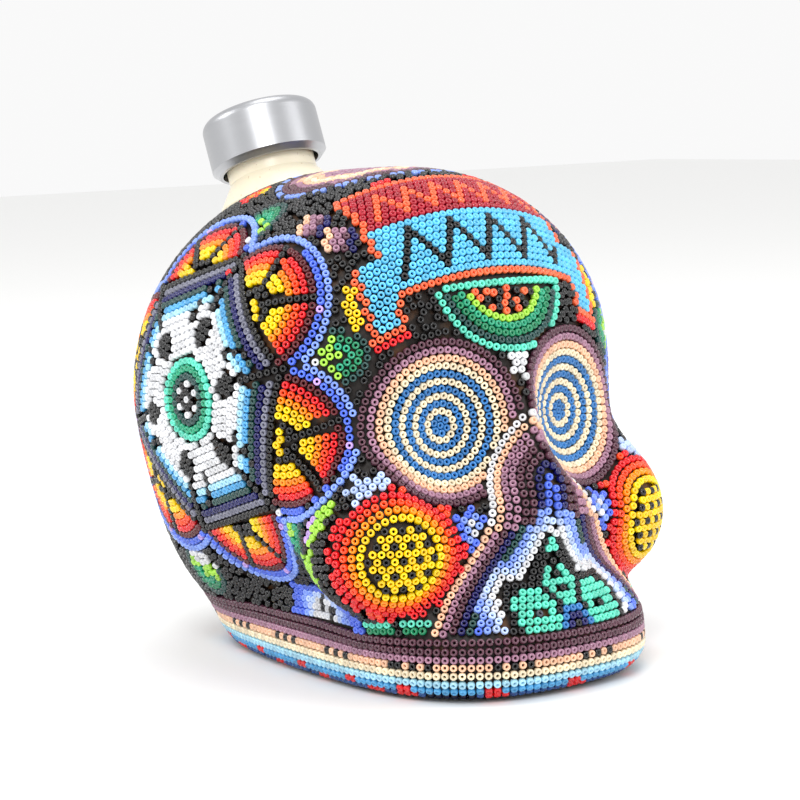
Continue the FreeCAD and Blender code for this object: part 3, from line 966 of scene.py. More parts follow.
@dataclass
class EyeRoundel:
    """Socket filled by rings round one bead, cream and blue by turns."""

    centre: tuple[float, float, float] = (-20.6, -37.5, 67.0)
    out: tuple[float, float, float] = (-0.36, -0.92, 0.08)
    ring_pitch: float = 1.95
    corner_gap: float = 2.03
    turn: float = 0.7
    rings: tuple[Tone, ...] = (
        Tone.BLUE, Tone.BLUE, Tone.CREAM, Tone.BLUE, Tone.CREAM, Tone.BLUE, Tone.CREAM, Tone.BLUE,
        Tone.CREAM, Tone.PEACH, Tone.MAUVE, Tone.PLUM)

    def lay(self, book: BeadBook, skin: Skin) -> None:
        """Lays both sockets, each ring from a polygon of places that is then spaced evenly.

        Args:
            book: Where beads go.
            skin: The surface.
        """
        chart = Chart(skin, self.centre, self.out)
        for n, tone in enumerate(self.rings):
            count = max(1, int(round(2.0 * math.pi * n * self.ring_pitch / self.corner_gap)))
            angle = np.arange(count) * 2.0 * math.pi / count + n * self.turn
            spots = chart.polar(np.full(count, n * self.ring_pitch + HAIR), angle)
            gaps = np.linalg.norm(spots - np.roll(spots, 1, axis=0), axis=1)
            if n and np.isfinite(gaps).all():
                spots, _ = skin.settle(dense(spots, SIZES.gap, True))
            book.lay_plain(spots, tone, "eye_roundel_{}", True)


@dataclass
class CheekSun:
    """Disc on the cheek: black dots set in yellow, then rings that run from yellow to red."""

    centre: tuple[float, float, float] = (-42.0, -47.3, 37.0)
    out: tuple[float, float, float] = (-0.5, -0.86, -0.06)
    step: float = 1.96
    dots: int = 4
    rings: tuple[Tone, ...] = (Tone.YELLOW, Tone.ORANGE, Tone.VERMILION, Tone.RED)
    corners: int = 72
    turn: float = 40.0
    rim: float = 0.8

    def lay(self, book: BeadBook, skin: Skin) -> list[Picture]:
        """Lays both cheeks.

        Args:
            book: Where beads go.
            skin: The surface.

        Returns:
            Their picture, which colours the beads that fill gaps.
        """
        chart = Chart(skin, self.centre, self.out)
        flat, tones = [(0.0, 0.0)], [Tone.BLACK]
        for n in range(1, self.dots + 1):
            for k in range(6 * n):
                side, along = divmod(k, n)
                a, b = (math.radians(60.0 * (side + s)) for s in (0, 1))
                flat.append((n * math.cos(a) + along * (math.cos(b) - math.cos(a)),
                             n * math.sin(a) + along * (math.sin(b) - math.sin(a))))
                tones.append(Tone.BLACK if n % 2 == 0 and along % 2 == 0 else Tone.YELLOW)
        book.lay_both(chart.polar_of(np.array(flat) * self.step), [NUMBER[t] for t in tones],
                      "cheek_sun_{}", True)
        around = np.arange(self.corners) * 360.0 / self.corners
        for n, tone in enumerate(self.rings):
            radius = (self.dots + 1 + n) * self.step
            spots = chart.polar(np.full(self.corners, radius), np.radians(around + self.turn * n))
            good = landed(spots)
            beads, _ = skin.settle(dense(good, SIZES.gap, len(good) == self.corners))
            book.lay_plain(beads, tone, "cheek_sun_{}", True)
        rim = ring((0.0, 0.0), (self.dots + len(self.rings)) * self.step + self.rim)
        return [Picture("cheek_sun_{}", chart, rim, graded(*reversed(self.rings)), True)]


@dataclass
class JawBand:
    """Rows that run level round the jaw and turn under it.

    Their heights come from beads spaced evenly down the front of the jaw, which is found by
    rays towards a hub inside it. Under the jaw, a row lies in from the side all round by as much
    as it does at the front.
    """

    top: float = 15.2
    turn_under: float = 4.6
    middle_y: float = 2.0
    undersides: int = 5
    dot_every: int = 12
    dots: tuple[int, ...] = (0, 2, 4)
    mark_every: int = 11
    hub: tuple[float, float, float] = (-22.0, -32.0, 11.0)
    front: tuple[float, float] = (-0.64, -0.77)
    reach: float = 90.0
    swing_from: float = 25.0
    swing: float = 115.0
    probes: int = 400
    corners: int = 240
    least_corners: int = 100
    start_angle: float = -2.3
    outside: float = 140.0
    inwards: float = 160.0
    below: float = -20.0
    upwards: float = 30.0
    rows: tuple[Tone, ...] = (
        Tone.PLUM, Tone.PLUM, Tone.MAUVE, Tone.PEACH, Tone.CREAM, Tone.ICE, Tone.SKY,
        Tone.DEEP_BLUE, Tone.MIDNIGHT, Tone.BLACK)

    def profile(self, skin: Skin) -> Points:
        """Where the rows cross the front of the jaw, from the top down.

        Args:
            skin: The surface.
        """
        down = []
        for k in range(self.probes):
            angle = math.radians(self.swing_from - self.swing * k / (self.probes - 1))
            way = Vector((math.cos(angle) * self.front[0], math.cos(angle) * self.front[1],
                          math.sin(angle)))
            hit = skin.tree.ray_cast(Vector(self.hub) + way * self.reach, -way, self.reach)[0]
            if hit is not None and hit.z < self.top:
                down.append(np.array(hit))
        return dense(np.array(down), SIZES.pitch, False)

    def lay(self, book: BeadBook, skin: Skin) -> None:
        """Lays the rows all the way round.

        Args:
            book: Where beads go.
            skin: The surface.
        """
        for n, key in enumerate(self.profile(skin)[:len(self.rows) + self.undersides]):
            tone = self.rows[min(n, len(self.rows) - 1)]
            spots = self.loop(skin, key)
            if spots is None:
                continue
            beads = dense(spots, SIZES.gap, True)
            tones = np.full(len(beads), NUMBER[tone])
            index = np.arange(len(beads))
            if tone is Tone.PEACH:
                tones[np.isin(index % self.dot_every, self.dots)] = NUMBER[Tone.BLACK]
            if tone in (Tone.SKY, Tone.DEEP_BLUE):
                mark = (0, 1, 2) if tone is Tone.DEEP_BLUE else (0, 1)
                tones[np.isin(index % self.mark_every, mark)] = NUMBER[Tone.RED]
            book.lay_both(beads, tones, "jaw_band", False)

    def loop(self, skin: Skin, key: np.ndarray) -> Points | None:
        """One level loop round the jaw.

        Args:
            skin: The surface.
            key: Where the loop crosses the front of the jaw.

        Returns:
            Places along the loop, or None where the jaw has none.
        """
        found = []
        low = key[2] < self.turn_under
        drawn_in = max(0.0, self.inset(skin, key)) if low else 0.0
        for k in range(self.corners):
            a = 2.0 * math.pi * (k / self.corners) + self.start_angle
            way = np.array((math.cos(a), math.sin(a), 0.0))
            start = way * self.outside + (0.0, self.middle_y, max(key[2], self.turn_under))
            spot = skin.tree.ray_cast(Vector(start), Vector(-way), self.inwards)[0]
            if low and spot is not None:
                base = np.array(spot) - way * drawn_in
                spot = skin.tree.ray_cast(Vector((base[0], base[1], self.below)),
                                          Vector((0.0, 0.0, 1.0)), self.upwards)[0]
            if spot is not None:
                found.append(spot)
        return np.array(found) if len(found) > self.least_corners else None

    def inset(self, skin: Skin, key: np.ndarray) -> float:
        """How far a loop under the jaw lies in from the jaw's side."""
        way = unit((*self.front, 0.0))
        start = Vector((*self.hub[:2], self.turn_under)) + Vector(way) * self.reach
        side = skin.tree.ray_cast(start, Vector(-way), self.reach)[0]
        return float((np.array(side) - key) @ way)


@dataclass
class NosePanel:
    """Tall triangle of graded rows, with a split leaf and two lobes where a nose opens."""

    top: float = 68.9
    base: float = 16.2
    half_width: float = 33.9
    tip: float = 1.4
    lobe: tuple[float, float] = (9.9, 20.2)
    lobe_radius: float = 5.6
    lobe_line: float = 1.5
    leaf: tuple[tuple[float, float], ...] = (
        (0.0, 37.4), (5.4, 27.2), (5.2, 23.8), (2.4, 20.8), (-2.4, 20.8), (-5.2, 23.8),
        (-5.4, 27.2))
    leaf_marks: tuple[tuple[float, float], ...] = ((0.0, 32.0), (0.0, 28.6), (0.0, 25.0))
    outline: float = 2.0
    arch_drop: float = 1.4
    arch_aside: float = 0.2
    arch: tuple[tuple[float, Tone], ...] = (
        (6.2, Tone.BLUE), (4.4, Tone.NAVY), (2.4, Tone.BLACK))
    halo: tuple[tuple[float, Tone], ...] = (
        (8.6, Tone.CORNFLOWER), (6.4, Tone.PALE_BLUE), (4.6, Tone.WHITE), (1.6, Tone.BLACK))
    frame_rows: int = 3
    paler_above: float = 42.0
    heart_top: float = 40.0
    heart_half: float = 24.0
    heart_beads: int = 14
    probe_x: float = -3.0
    samples: int = 200
    row_samples: int = 100

    def shapes(self, flat: np.ndarray) -> tuple[np.ndarray, np.ndarray]:
        """Distances outside the turquoise shapes and from the middle of the arch.

        Args:
            flat: Sheet coordinates.

        Returns:
            Distance to the leaf or nearer lobe, below zero inside, and to the arch's middle.
        """
        aside = np.stack([np.abs(flat[:, 0]), flat[:, 1]], axis=1)
        lobes = np.linalg.norm(aside - self.lobe, axis=1) - self.lobe_radius
        edge = dense(np.array(self.leaf), 0.3, True)
        gap = np.sqrt(((flat[:, None] - edge[None]) ** 2).sum(2).min(1))
        leaf = np.where(inside(np.array(self.leaf), flat), -gap, gap)
        nearer = np.where((lobes > leaf) & (lobes < self.lobe_line), np.maximum(lobes, 0.3),
                          np.minimum(lobes, leaf))
        arch = np.linalg.norm(flat - (self.arch_aside, self.base - self.arch_drop), axis=1)
        return nearer, arch

    def heart_tones(self, flat: np.ndarray) -> np.ndarray:
        """Colour numbers of the shapes and their outlines, below zero beyond them.

        Args:
            flat: Sheet coordinates.
        """
        gap, arch = self.shapes(flat)
        tones = np.full(len(flat), -1)
        tones[gap < self.outline] = NUMBER[Tone.BLACK]
        tones[gap < 0.1] = NUMBER[Tone.TURQUOISE]
        for radius, tone in self.arch:
            tones[arch < radius] = NUMBER[tone]
        return tones

    def frame_rule(self, rows: np.ndarray, flat: np.ndarray) -> np.ndarray:
        """Colours of the framing rows: by row near the edge, by distance round the shapes.

        Args:
            rows: Row numbers.
            flat: Sheet coordinates.
        """
        low = graded(Tone.PEACH, Tone.MAUVE, Tone.PLUM, Tone.NAVY, Tone.PINE, Tone.PERIWINKLE)
        high = graded(Tone.WHITE, Tone.PEACH, Tone.MAUVE, Tone.MAUVE, Tone.PLUM, Tone.PLUM,
                      Tone.NAVY, Tone.PERIWINKLE)
        tones = np.where(flat[:, 1] > self.paler_above, high(rows, flat), low(rows, flat))
        gap, _ = self.shapes(flat)
        free = rows > self.frame_rows
        for reach, tone in self.halo:
            tones = np.where(free & (gap < reach), NUMBER[tone], tones)
        return tones

    def lay_heart(self, book: BeadBook, chart: Chart) -> None:
        """Lays the leaf, lobes and arch in level rows, each set half a bead along.

        Args:
            book: Where beads go.
            chart: The sheet it is drawn on.
        """
        heights = np.linspace(self.base + 0.9, self.heart_top, self.samples)
        run = lengths(chart.place(np.stack([np.full(self.samples, self.probe_x), heights], axis=1)))
        levels = np.interp(np.arange(int(run[-1] / SIZES.pitch)) * SIZES.pitch, run, heights)
        for j, level in enumerate(levels):
            for side in (-1.0, 1.0):
                line = landed(chart.place(np.stack(
                    [np.linspace(0.0, self.heart_half * side, self.row_samples),
                     np.full(self.row_samples, level)], axis=1)))
                along = lengths(line)
                at = (np.arange(self.heart_beads) + stagger(j)) * SIZES.gap
                beads = walk(line, along, at[at < along[-1]])
                tones = self.heart_tones(chart.flatten(beads))
                keep = tones >= 0
                book.lay_both(beads[keep], tones[keep], "nose_panel", False)

    def lay(self, book: BeadBook, skin: Skin) -> list[Picture]:
        """Lays the panel.

        Args:
            book: Where beads go.
            skin: The surface.

        Returns:
            Its picture, which also colours the beads that fill gaps.
        """
        chart = Chart(skin, (0.0, -50.0, 0.0), (0.0, -1.0, 0.0))
        seeds = np.array(((-self.lobe[0], self.lobe[1]), self.lobe, *self.leaf_marks))
        tones = [NUMBER[Tone.HEMATITE]] + [NUMBER[Tone.BLACK]] * (len(seeds) - 1)
        book.lay_both(chart.place(seeds), tones, "nose_panel", False)
        self.lay_heart(book, chart)
        right = np.array([(-self.half_width, self.base), (-self.tip, self.top)])
        left = right * (-1.0, 1.0)
        picture = Picture("nose_panel", chart, np.vstack([right, left[::-1]]), self.frame_rule,
                          hems=[right, left])
        picture.fill(book)
        return [picture]


@dataclass
class Banner:
    """Folded ribbon across the brow: a crimson strip over a sky-blue one with drooping tails.

    Its beads run in level rows with each row set half a bead along. A small zigzag runs along
    the upper strip and a tall one along the lower.
    """

    lean: float = 50.0
    sheet_out: float = 75.0
    upper_half: float = 29.5
    waist_half: float = 30.6
    fold_half: float = 36.8
    tail: float = 9.8
    high: float = 72.7
    seam: float = 57.2
    notch: float = 50.4
    fold_low: float = 39.4
    tail_low: float = 34.5
    tail_end: float = 30.0
    edge: float = 0.4
    least: float = 1.7
    upper_zigzag: tuple[int, int] = (4, 5)
    upper_plain: float = 5.0
    lower_zigzag: tuple[int, int] = (6, 7)
    lower_plain: float = 4.0
    zigzag_half: float = 0.26
    probe_x: float = -16.0
    samples: int = 400
    row_samples: int = 160
    half_samples: int = 120

    def lay(self, book: BeadBook, skin: Skin) -> None:
        """Lays every row of the ribbon from the top down.

        Args:
            book: Where beads go.
            skin: The surface.
        """
        a = math.radians(self.lean)
        up = np.array((0.0, math.sin(a), math.cos(a)))
        out = np.array((0.0, -math.cos(a), math.sin(a)))
        chart = Chart(skin, out * self.sheet_out, out, up)
        heights = np.linspace(self.high - 0.9, self.tail_end + 0.6, self.samples)
        run = lengths(chart.place(np.stack([np.full(self.samples, self.probe_x), heights], axis=1)))
        count = int(run[-1] / SIZES.pitch) + 1
        levels = np.interp(np.arange(count) * SIZES.pitch, run, heights)
        for j, level in enumerate(levels):
            for low, high in self.spans(level):
                self.lay_row(book, chart, j, level, low, high, levels)

    def spans(self, level: float) -> list[tuple[float, float]]:
        """Stretches of ribbon at one height up the slope.

        Args:
            level: The height up the slope.
        """
        if level > self.seam:
            return [(-self.upper_half, self.upper_half)]
        if level > self.notch:
            return [(-self.waist_half, self.waist_half)]
        if level > self.fold_low:
            return [(-self.fold_half, self.fold_half)]
        return [(-self.fold_half, self.tail - self.fold_half),
                (self.fold_half - self.tail, self.fold_half)]

    def lay_row(self, book: BeadBook, chart: Chart, j: int, level: float, low: float, high: float,
                levels: np.ndarray) -> None:
        """Lays one level stretch.

        Args:
            book: Where beads go.
            chart: The banner's sheet.
            j: Row number from the top.
            level: Its height up the slope.
            low: Start across.
            high: End across.
            levels: All rows' heights.
        """
        line = landed(chart.place(np.stack([np.linspace(low, high, self.row_samples),
                                            np.full(self.row_samples, level)], axis=1)))
        if len(line) < 4:
            return
        run = lengths(line)
        zero = self.zero_run(chart, level, line[0])
        first = math.ceil((self.edge - zero) / SIZES.gap - stagger(j))
        last = math.floor((run[-1] - self.edge - zero) / SIZES.gap - stagger(j))
        places = np.arange(first, last + 1) + stagger(j)
        beads = walk(line, run, zero + places * SIZES.gap)
        for n, (bead, column) in enumerate(zip(beads, places)):
            end = min(n, len(beads) - 1 - n)
            piece, tone = self.choose(j, level, float(column), end, bead[0], levels)
            book.lay_plain(bead[None], tone, piece, False, self.least)

    def zero_run(self, chart: Chart, level: float, start: np.ndarray) -> float:
        """Distance along a row from its start to the middle of the brow.

        Args:
            chart: The banner's sheet.
            level: The row's height up the slope.
            start: Where the row starts.

        Returns:
            The distance, negative where the row starts past the middle.
        """
        line = landed(chart.place(np.stack([np.linspace(start[0], 0.0, self.half_samples),
                                            np.full(self.half_samples, level)], axis=1)))
        length = float(np.linalg.norm(np.diff(line, axis=0), axis=1).sum())
        return length if start[0] < 0.0 else -length

    def choose(self, j: int, level: float, column: float, end: int, x: float,
               levels: np.ndarray) -> tuple[str, Tone]:
        """Mat and colour of one bead.

        Args:
            j: Row number from the top.
            level: The row's height up the slope.
            column: Place along the row from the middle, in beads.
            end: How many beads in from the nearer end of the row.
            x: Place across the brow.
            levels: All rows' heights.

        Returns:
            The mat's name and the colour.
        """
        side = "right" if x < 0 else "left"
        if level > self.seam:
            if j == 0 or end == 0:
                return "banner_upper", Tone.CORAL
            inner = abs(x) < self.upper_half - self.upper_plain
            mark = inner and self.zigzag(column, j - 2, j, *self.upper_zigzag)
            return "banner_upper", Tone.CORAL if mark else Tone.CRIMSON
        if level < self.tail_low:
            below = j - int(np.argmax(levels < self.tail_low))
            return f"banner_hem_{side}", (Tone.CORAL, Tone.RED, Tone.CRIMSON)[min(below, 2)]
        if end == 0:
            return "banner_lower", Tone.CORAL
        fold = int(np.argmax(levels <= self.fold_low)) - 1
        if j == fold and abs(x) < self.fold_half - self.tail + 1.0:
            return "banner_lower", Tone.CORAL
        first = int(np.argmax(levels <= self.seam))
        inner = abs(x) < self.upper_half - self.lower_plain
        mark = inner and self.zigzag(column, j - first - 1, j, *self.lower_zigzag)
        return "banner_lower", Tone.BLACK if mark else Tone.CYAN

    def zigzag(self, column: float, row: int, j: int, period: int, tall: int) -> bool:
        """Whether a bead lies on a zigzag line that follows the lattice of the rows.

        Args:
            column: Place along the row in beads.
            row: Row within the pattern.
            j: Row within the banner.
            period: Beads from one turn to the next but one.
            tall: Rows in the pattern.

        Returns:
            True on the line.
        """
        if not 0 <= row < tall:
            return False
        value = abs((column + stagger(j - row)) % period - period / 2.0)
        return abs(value - row / 2.0) < self.zigzag_half


@dataclass
class FruitSlice:
    """Half slice that hangs from the banner, with a scalloped rind."""

    centre: tuple[float, float, float] = (1.0, -38.0, 104.6)
    out: tuple[float, float, float] = (0.0, -0.94, 0.34)
    radius: float = 20.9
    arc: tuple[int, float, float] = (40, 187.0, 166.0)
    seeds: tuple[tuple[float, float], ...] = (
        (-1.8, -5.2), (-2.6, -7.1), (-3.2, -9.0), (3.8, -5.2), (4.8, -7.0), (5.8, -8.8),
        (-6.2, -6.8), (1.1, -8.6), (8.6, -5.8))

    def lay(self, book: BeadBook, skin: Skin) -> list[Picture]:
        """Lays the slice under the banner.

        Args:
            book: Where beads go.
            skin: The surface.

        Returns:
            Its picture.
        """
        chart = Chart(skin, self.centre, self.out)
        arc = ring((0.0, 0.0), self.radius, *self.arc)
        book.lay_plain(chart.place(np.array(self.seeds)), Tone.BLACK, "fruit_slice", False)
        rule = graded(Tone.TURQUOISE, Tone.PINE, Tone.GREEN, Tone.JADE, Tone.LIME, Tone.CORAL)
        picture = Picture("fruit_slice", chart, arc, rule, hems=[arc])
        picture.fill(book)
        return [picture]


@dataclass
class Crown:
    """Oval on the crown in front of the neck: a dashed edge round zigzag bands."""

    centre: tuple[float, float, float] = (0.0, 14.0, 125.0)
    half: tuple[float, float] = (26.5, 22.0)
    tooth_degrees: float = 24.0
    dash_degrees: tuple[float, float] = (17.0, 5.0)
    bands: tuple[Tone, ...] = (
        Tone.CORNFLOWER, Tone.PLUM, Tone.PLUM, Tone.MAUVE, Tone.PEACH, Tone.CREAM, Tone.PEACH,
        Tone.MAUVE)

    def lay(self, book: BeadBook, skin: Skin) -> list[Picture]:
        """Lays the oval.

        Args:
            book: Where beads go.
            skin: The surface.

        Returns:
            Its picture.
        """
        chart = Chart(skin, self.centre, (0.0, 0.0, 1.0), (0.0, 1.0, 0.0))
        outline = ring((0.0, 0.0), 1.0, 72) * self.half
        bands = np.array([NUMBER[t] for t in self.bands])

        def rule(rows: np.ndarray, flat: np.ndarray) -> np.ndarray:
            """Bands that step in and out round the oval."""
            angle = np.degrees(np.arctan2(flat[:, 1], flat[:, 0]))
            zig = np.round(1.6 * np.abs((angle / self.tooth_degrees) % 2.0 - 1.0) - 0.4)
            last = len(bands) - 1
            step = np.where(rows > 0, np.clip(rows + np.maximum(zig, 0), 1, last), 0).astype(int)
            gap = (rows == 0) & ((angle % self.dash_degrees[0]) < self.dash_degrees[1])
            return np.where(gap, NUMBER[Tone.BLACK], bands[step])

        picture = Picture("crown_roundel", chart, outline, rule)
        picture.fill(book)
        return [picture]


@dataclass
class Medallion:
    """Six-sided shield on the side of the head, with six sunset petals round it."""

    centre: tuple[float, float, float] = (-59.0, 19.1, 73.1)
    size: float = 37.2
    turn: float = 15.5
    flower_radius: float = 10.6
    seed_radius: float = 3.9
    spoke_from: float = 24.0
    rattle_from: float = 14.6
    rattle: tuple[tuple[int, ...], ...] = ((0,), (0, 1), (-1, 0, 1), (0, 1))
    rattle_rows: float = 1.8
    rattle_beads: float = 2.0
    rattle_least: float = 1.55
    sparks: tuple[tuple[float, float], ...] = ((26.5, 5.6), (23.0, 6.9), (19.2, 7.2))
    petal_radius: float = 17.4
    petal_x: float = -50.0
    splay: float = 30.0
    rib_turns: tuple[float, float] = (-31.0, 31.0)
    rib_from: float = 3.2
    rib_margin: float = 0.8
    petal_heart: float = 4.6
    lines: tuple[tuple[float, Tone], ...] = ((0.95, Tone.PERIWINKLE), (2.9, Tone.CORNFLOWER))
    line_sweep: float = 125.0
    line_samples: int = 130
    lilac_every: int = 9

    def chart(self, skin: Skin) -> Chart:
        """Sheet square on the side of the head; its first axis points forward."""
        return Chart(skin, self.centre, (-1.0, 0.0, 0.0))
        """Sheet square on the side of the head; its first axis points forward."""
        return Chart(skin, self.centre, (-1.0, 0.0, 0.0))

    def corner(self, index: float) -> np.ndarray:
        """Direction on the sheet of a corner; halves give the middles of sides."""
        a = math.radians(self.turn + 60.0 * index)
        return np.array((math.cos(a), math.sin(a)))

    def lay(self, book: BeadBook, skin: Skin) -> list[Picture]:
        """Lays the shield, its petals and the double line round them.

        Args:
            book: Where beads go.
            skin: The surface.

        Returns:
            The pictures.
        """
        chart = self.chart(skin)
        self.lay_signs(book, chart)
        outline = np.array([self.corner(k) * self.size for k in range(6)])
        rule = graded(Tone.BLACK, Tone.CLEAR, Tone.NAVY, Tone.PINE, Tone.SKY, Tone.ICE,
                      Tone.WHITE)
        flower = Picture("medallion_{}", chart, ring((0.0, 0.0), self.flower_radius),
                         graded(Tone.TURQUOISE, Tone.JADE, Tone.PINE, Tone.BLACK), True)
        flower.fill(book)
        shield = Picture("medallion_{}", chart, outline, rule, True)
        shield.fill(book)
        petals = [self.lay_petal(book, skin, chart, k) for k in range(6)]
        self.lay_border(book, skin, chart)
        return [flower, shield, *petals]

    def lay_signs(self, book: BeadBook, chart: Chart) -> None:
        """Lays the flower's white seeds, then each spoke with its rattle and sparks.

        Args:
            book: Where beads go.
            chart: The shield's sheet.
        """
        seeds = np.r_[[(0.0, 0.0)], ring((0.0, 0.0), self.seed_radius, 6, 30.0)]
        book.lay_plain(chart.place(seeds), Tone.WHITE, "medallion_{}", True)
        for k in range(6):
            way = self.corner(k)
            side = np.array((-way[1], way[0]))
            path = chart.place(np.linspace(way * self.spoke_from, way * (self.size - 0.6), 30))
            beads = dense(landed(path), SIZES.gap, False)
            book.lay_plain(beads, Tone.BLACK, "medallion_{}", True)
            blob = np.array([way * (self.rattle_from + row * self.rattle_rows)
                             + side * (column - stagger(row)) * self.rattle_beads
                             for row, columns in enumerate(self.rattle) for column in columns])
            book.lay_plain(chart.place(blob), Tone.BLACK, "medallion_{}", True, self.rattle_least)
            sparks = np.array([way * along + side * aside for along, aside in self.sparks])
            book.lay_plain(chart.place(sparks), Tone.BLACK, "medallion_{}", True)

    def petal_sheet(self, skin: Skin, chart: Chart, index: int) -> Chart:
        """Sheet of one petal, splayed to follow the head; its first axis points outwards.

        Args:
            skin: The surface.
            chart: The sheet it is drawn on.
            index: Its number from 0.
        """
        way = self.corner(index + 0.5)
        away = chart.across * way[0] + chart.up * way[1]
        middle = np.array((self.petal_x, self.centre[1], self.centre[2]))
        middle = middle + away * self.size * math.cos(math.pi / 6.0)
        a = math.radians(self.splay)
        out = chart.out * math.cos(a) + away * math.sin(a)
        return Chart(skin, middle, out, np.cross(out, away))

    def lay_petal(self, book: BeadBook, skin: Skin, chart: Chart, index: int) -> Picture:
        """Lays one petal: black ribs, then arcs from maroon at the rim to yellow at the base.

        Args:
            book: Where beads go.
            skin: The surface.
            chart: The shield's sheet.
            index: The petal's number from 0.

        Returns:
            The petal's picture.
        """
        sheet = self.petal_sheet(skin, chart, index)
        piece = f"petal_{{}}_{index + 1}"
        tip = self.petal_radius - self.rib_margin
        ribs = []
        for turn in self.rib_turns:
            c, s = math.cos(math.radians(turn)), math.sin(math.radians(turn))
            ribs.append(np.linspace((self.rib_from * c, self.rib_from * s), (tip * c, tip * s), 24))
        ribs.append(ring((0.0, 0.0), self.petal_heart, 16, -80.0, 160.0))
        for rib in ribs:
            path = landed(sheet.place(rib))
            if len(path) > 3:
                book.lay_plain(dense(path, SIZES.gap, False), Tone.BLACK, piece, True)
        rim = ring((0.0, 0.0), self.petal_radius, 40, -96.0, 192.0)
        rule = graded(Tone.MAROON, Tone.RED, Tone.VERMILION, Tone.ORANGE, Tone.YELLOW)
        picture = Picture(piece, sheet, rim, rule, True, hems=[rim])
        picture.fill(book)
        return picture

    def lay_border(self, book: BeadBook, skin: Skin, chart: Chart) -> None:
        """Lays the double line of blues that runs round all six petals.

        Args:
            book: Where beads go.
            skin: The surface.
            chart: The shield's sheet.
        """
        sheets = [self.petal_sheet(skin, chart, k) for k in range(6)]
        middles = np.array([s.middle for s in sheets])
        angle = np.radians(np.linspace(-self.line_sweep, self.line_sweep, self.line_samples))
        for n, (extra, tone) in enumerate(self.lines):
            radius = self.petal_radius + extra
            for k, sheet in enumerate(sheets):
                path = landed(sheet.polar(np.full(self.line_samples, radius), angle))
                beads = dense(path, SIZES.gap, False)
                others = np.delete(middles, k, axis=0)
                gap = np.linalg.norm(beads[:, None] - others[None], axis=2).min(1)
                centre_gap = np.linalg.norm(chart.flatten(beads), axis=1)
                keep = (gap > radius - 0.2) & (centre_gap > self.size * 0.93)
                tones = np.full(len(beads), NUMBER[tone])
                if n == 0:
                    tones[np.arange(len(beads)) % self.lilac_every == 4] = NUMBER[Tone.LILAC]
                book.lay_both(beads[keep], tones[keep], "petal_border_{}", True)


@dataclass
class NotchLeaves:
    """Shaded leaves that sit in the notches between petals."""

    half: tuple[float, float] = (7.4, 9.0)
    arc: tuple[int, float, float] = (40, -25.0, 230.0)
    spots: tuple[tuple[float, float, float], ...] = (
        (-37.1, 14.6, 117.7), (-45.4, -27.2, 85.6), (-51.5, -11.5, 41.0), (-41.6, 39.3, 23.3),
        (-48.0, 62.0, 47.0), (-38.0, 66.0, 96.0))
    shield: tuple[float, float, float] = Medallion.centre
    lime_below: float = 0.6
    white_below: float = -3.0

    def lay(self, book: BeadBook, skin: Skin) -> list[Picture]:
        """Lays a leaf in every notch, its pale foot towards the shield.

        Args:
            book: Where beads go.
            skin: The surface.

        Returns:
            The pictures.
        """
        made = []
        for spot in self.spots:
            sheet = Chart.at(skin, spot, np.array(spot) - self.shield)
            rim = ring((0.0, 0.0), 1.0, *self.arc) * self.half
            outline = np.vstack([rim, [(0.0, -self.half[1])]])
            picture = Picture("black_field", sheet, outline, self.shading, True, hems=[rim])
            picture.fill(book)
            made.append(picture)
        return made

    def shading(self, rows: np.ndarray, flat: np.ndarray) -> np.ndarray:
        """Dark at the rim, lime within and white at the foot."""
        tones = graded(Tone.PINE, Tone.GREEN, Tone.JADE, Tone.LIME)(rows, flat)
        tones = np.where((flat[:, 1] < self.lime_below) & (rows > 0), NUMBER[Tone.LIME], tones)
        return np.where(flat[:, 1] < self.white_below, NUMBER[Tone.WHITE], tones)


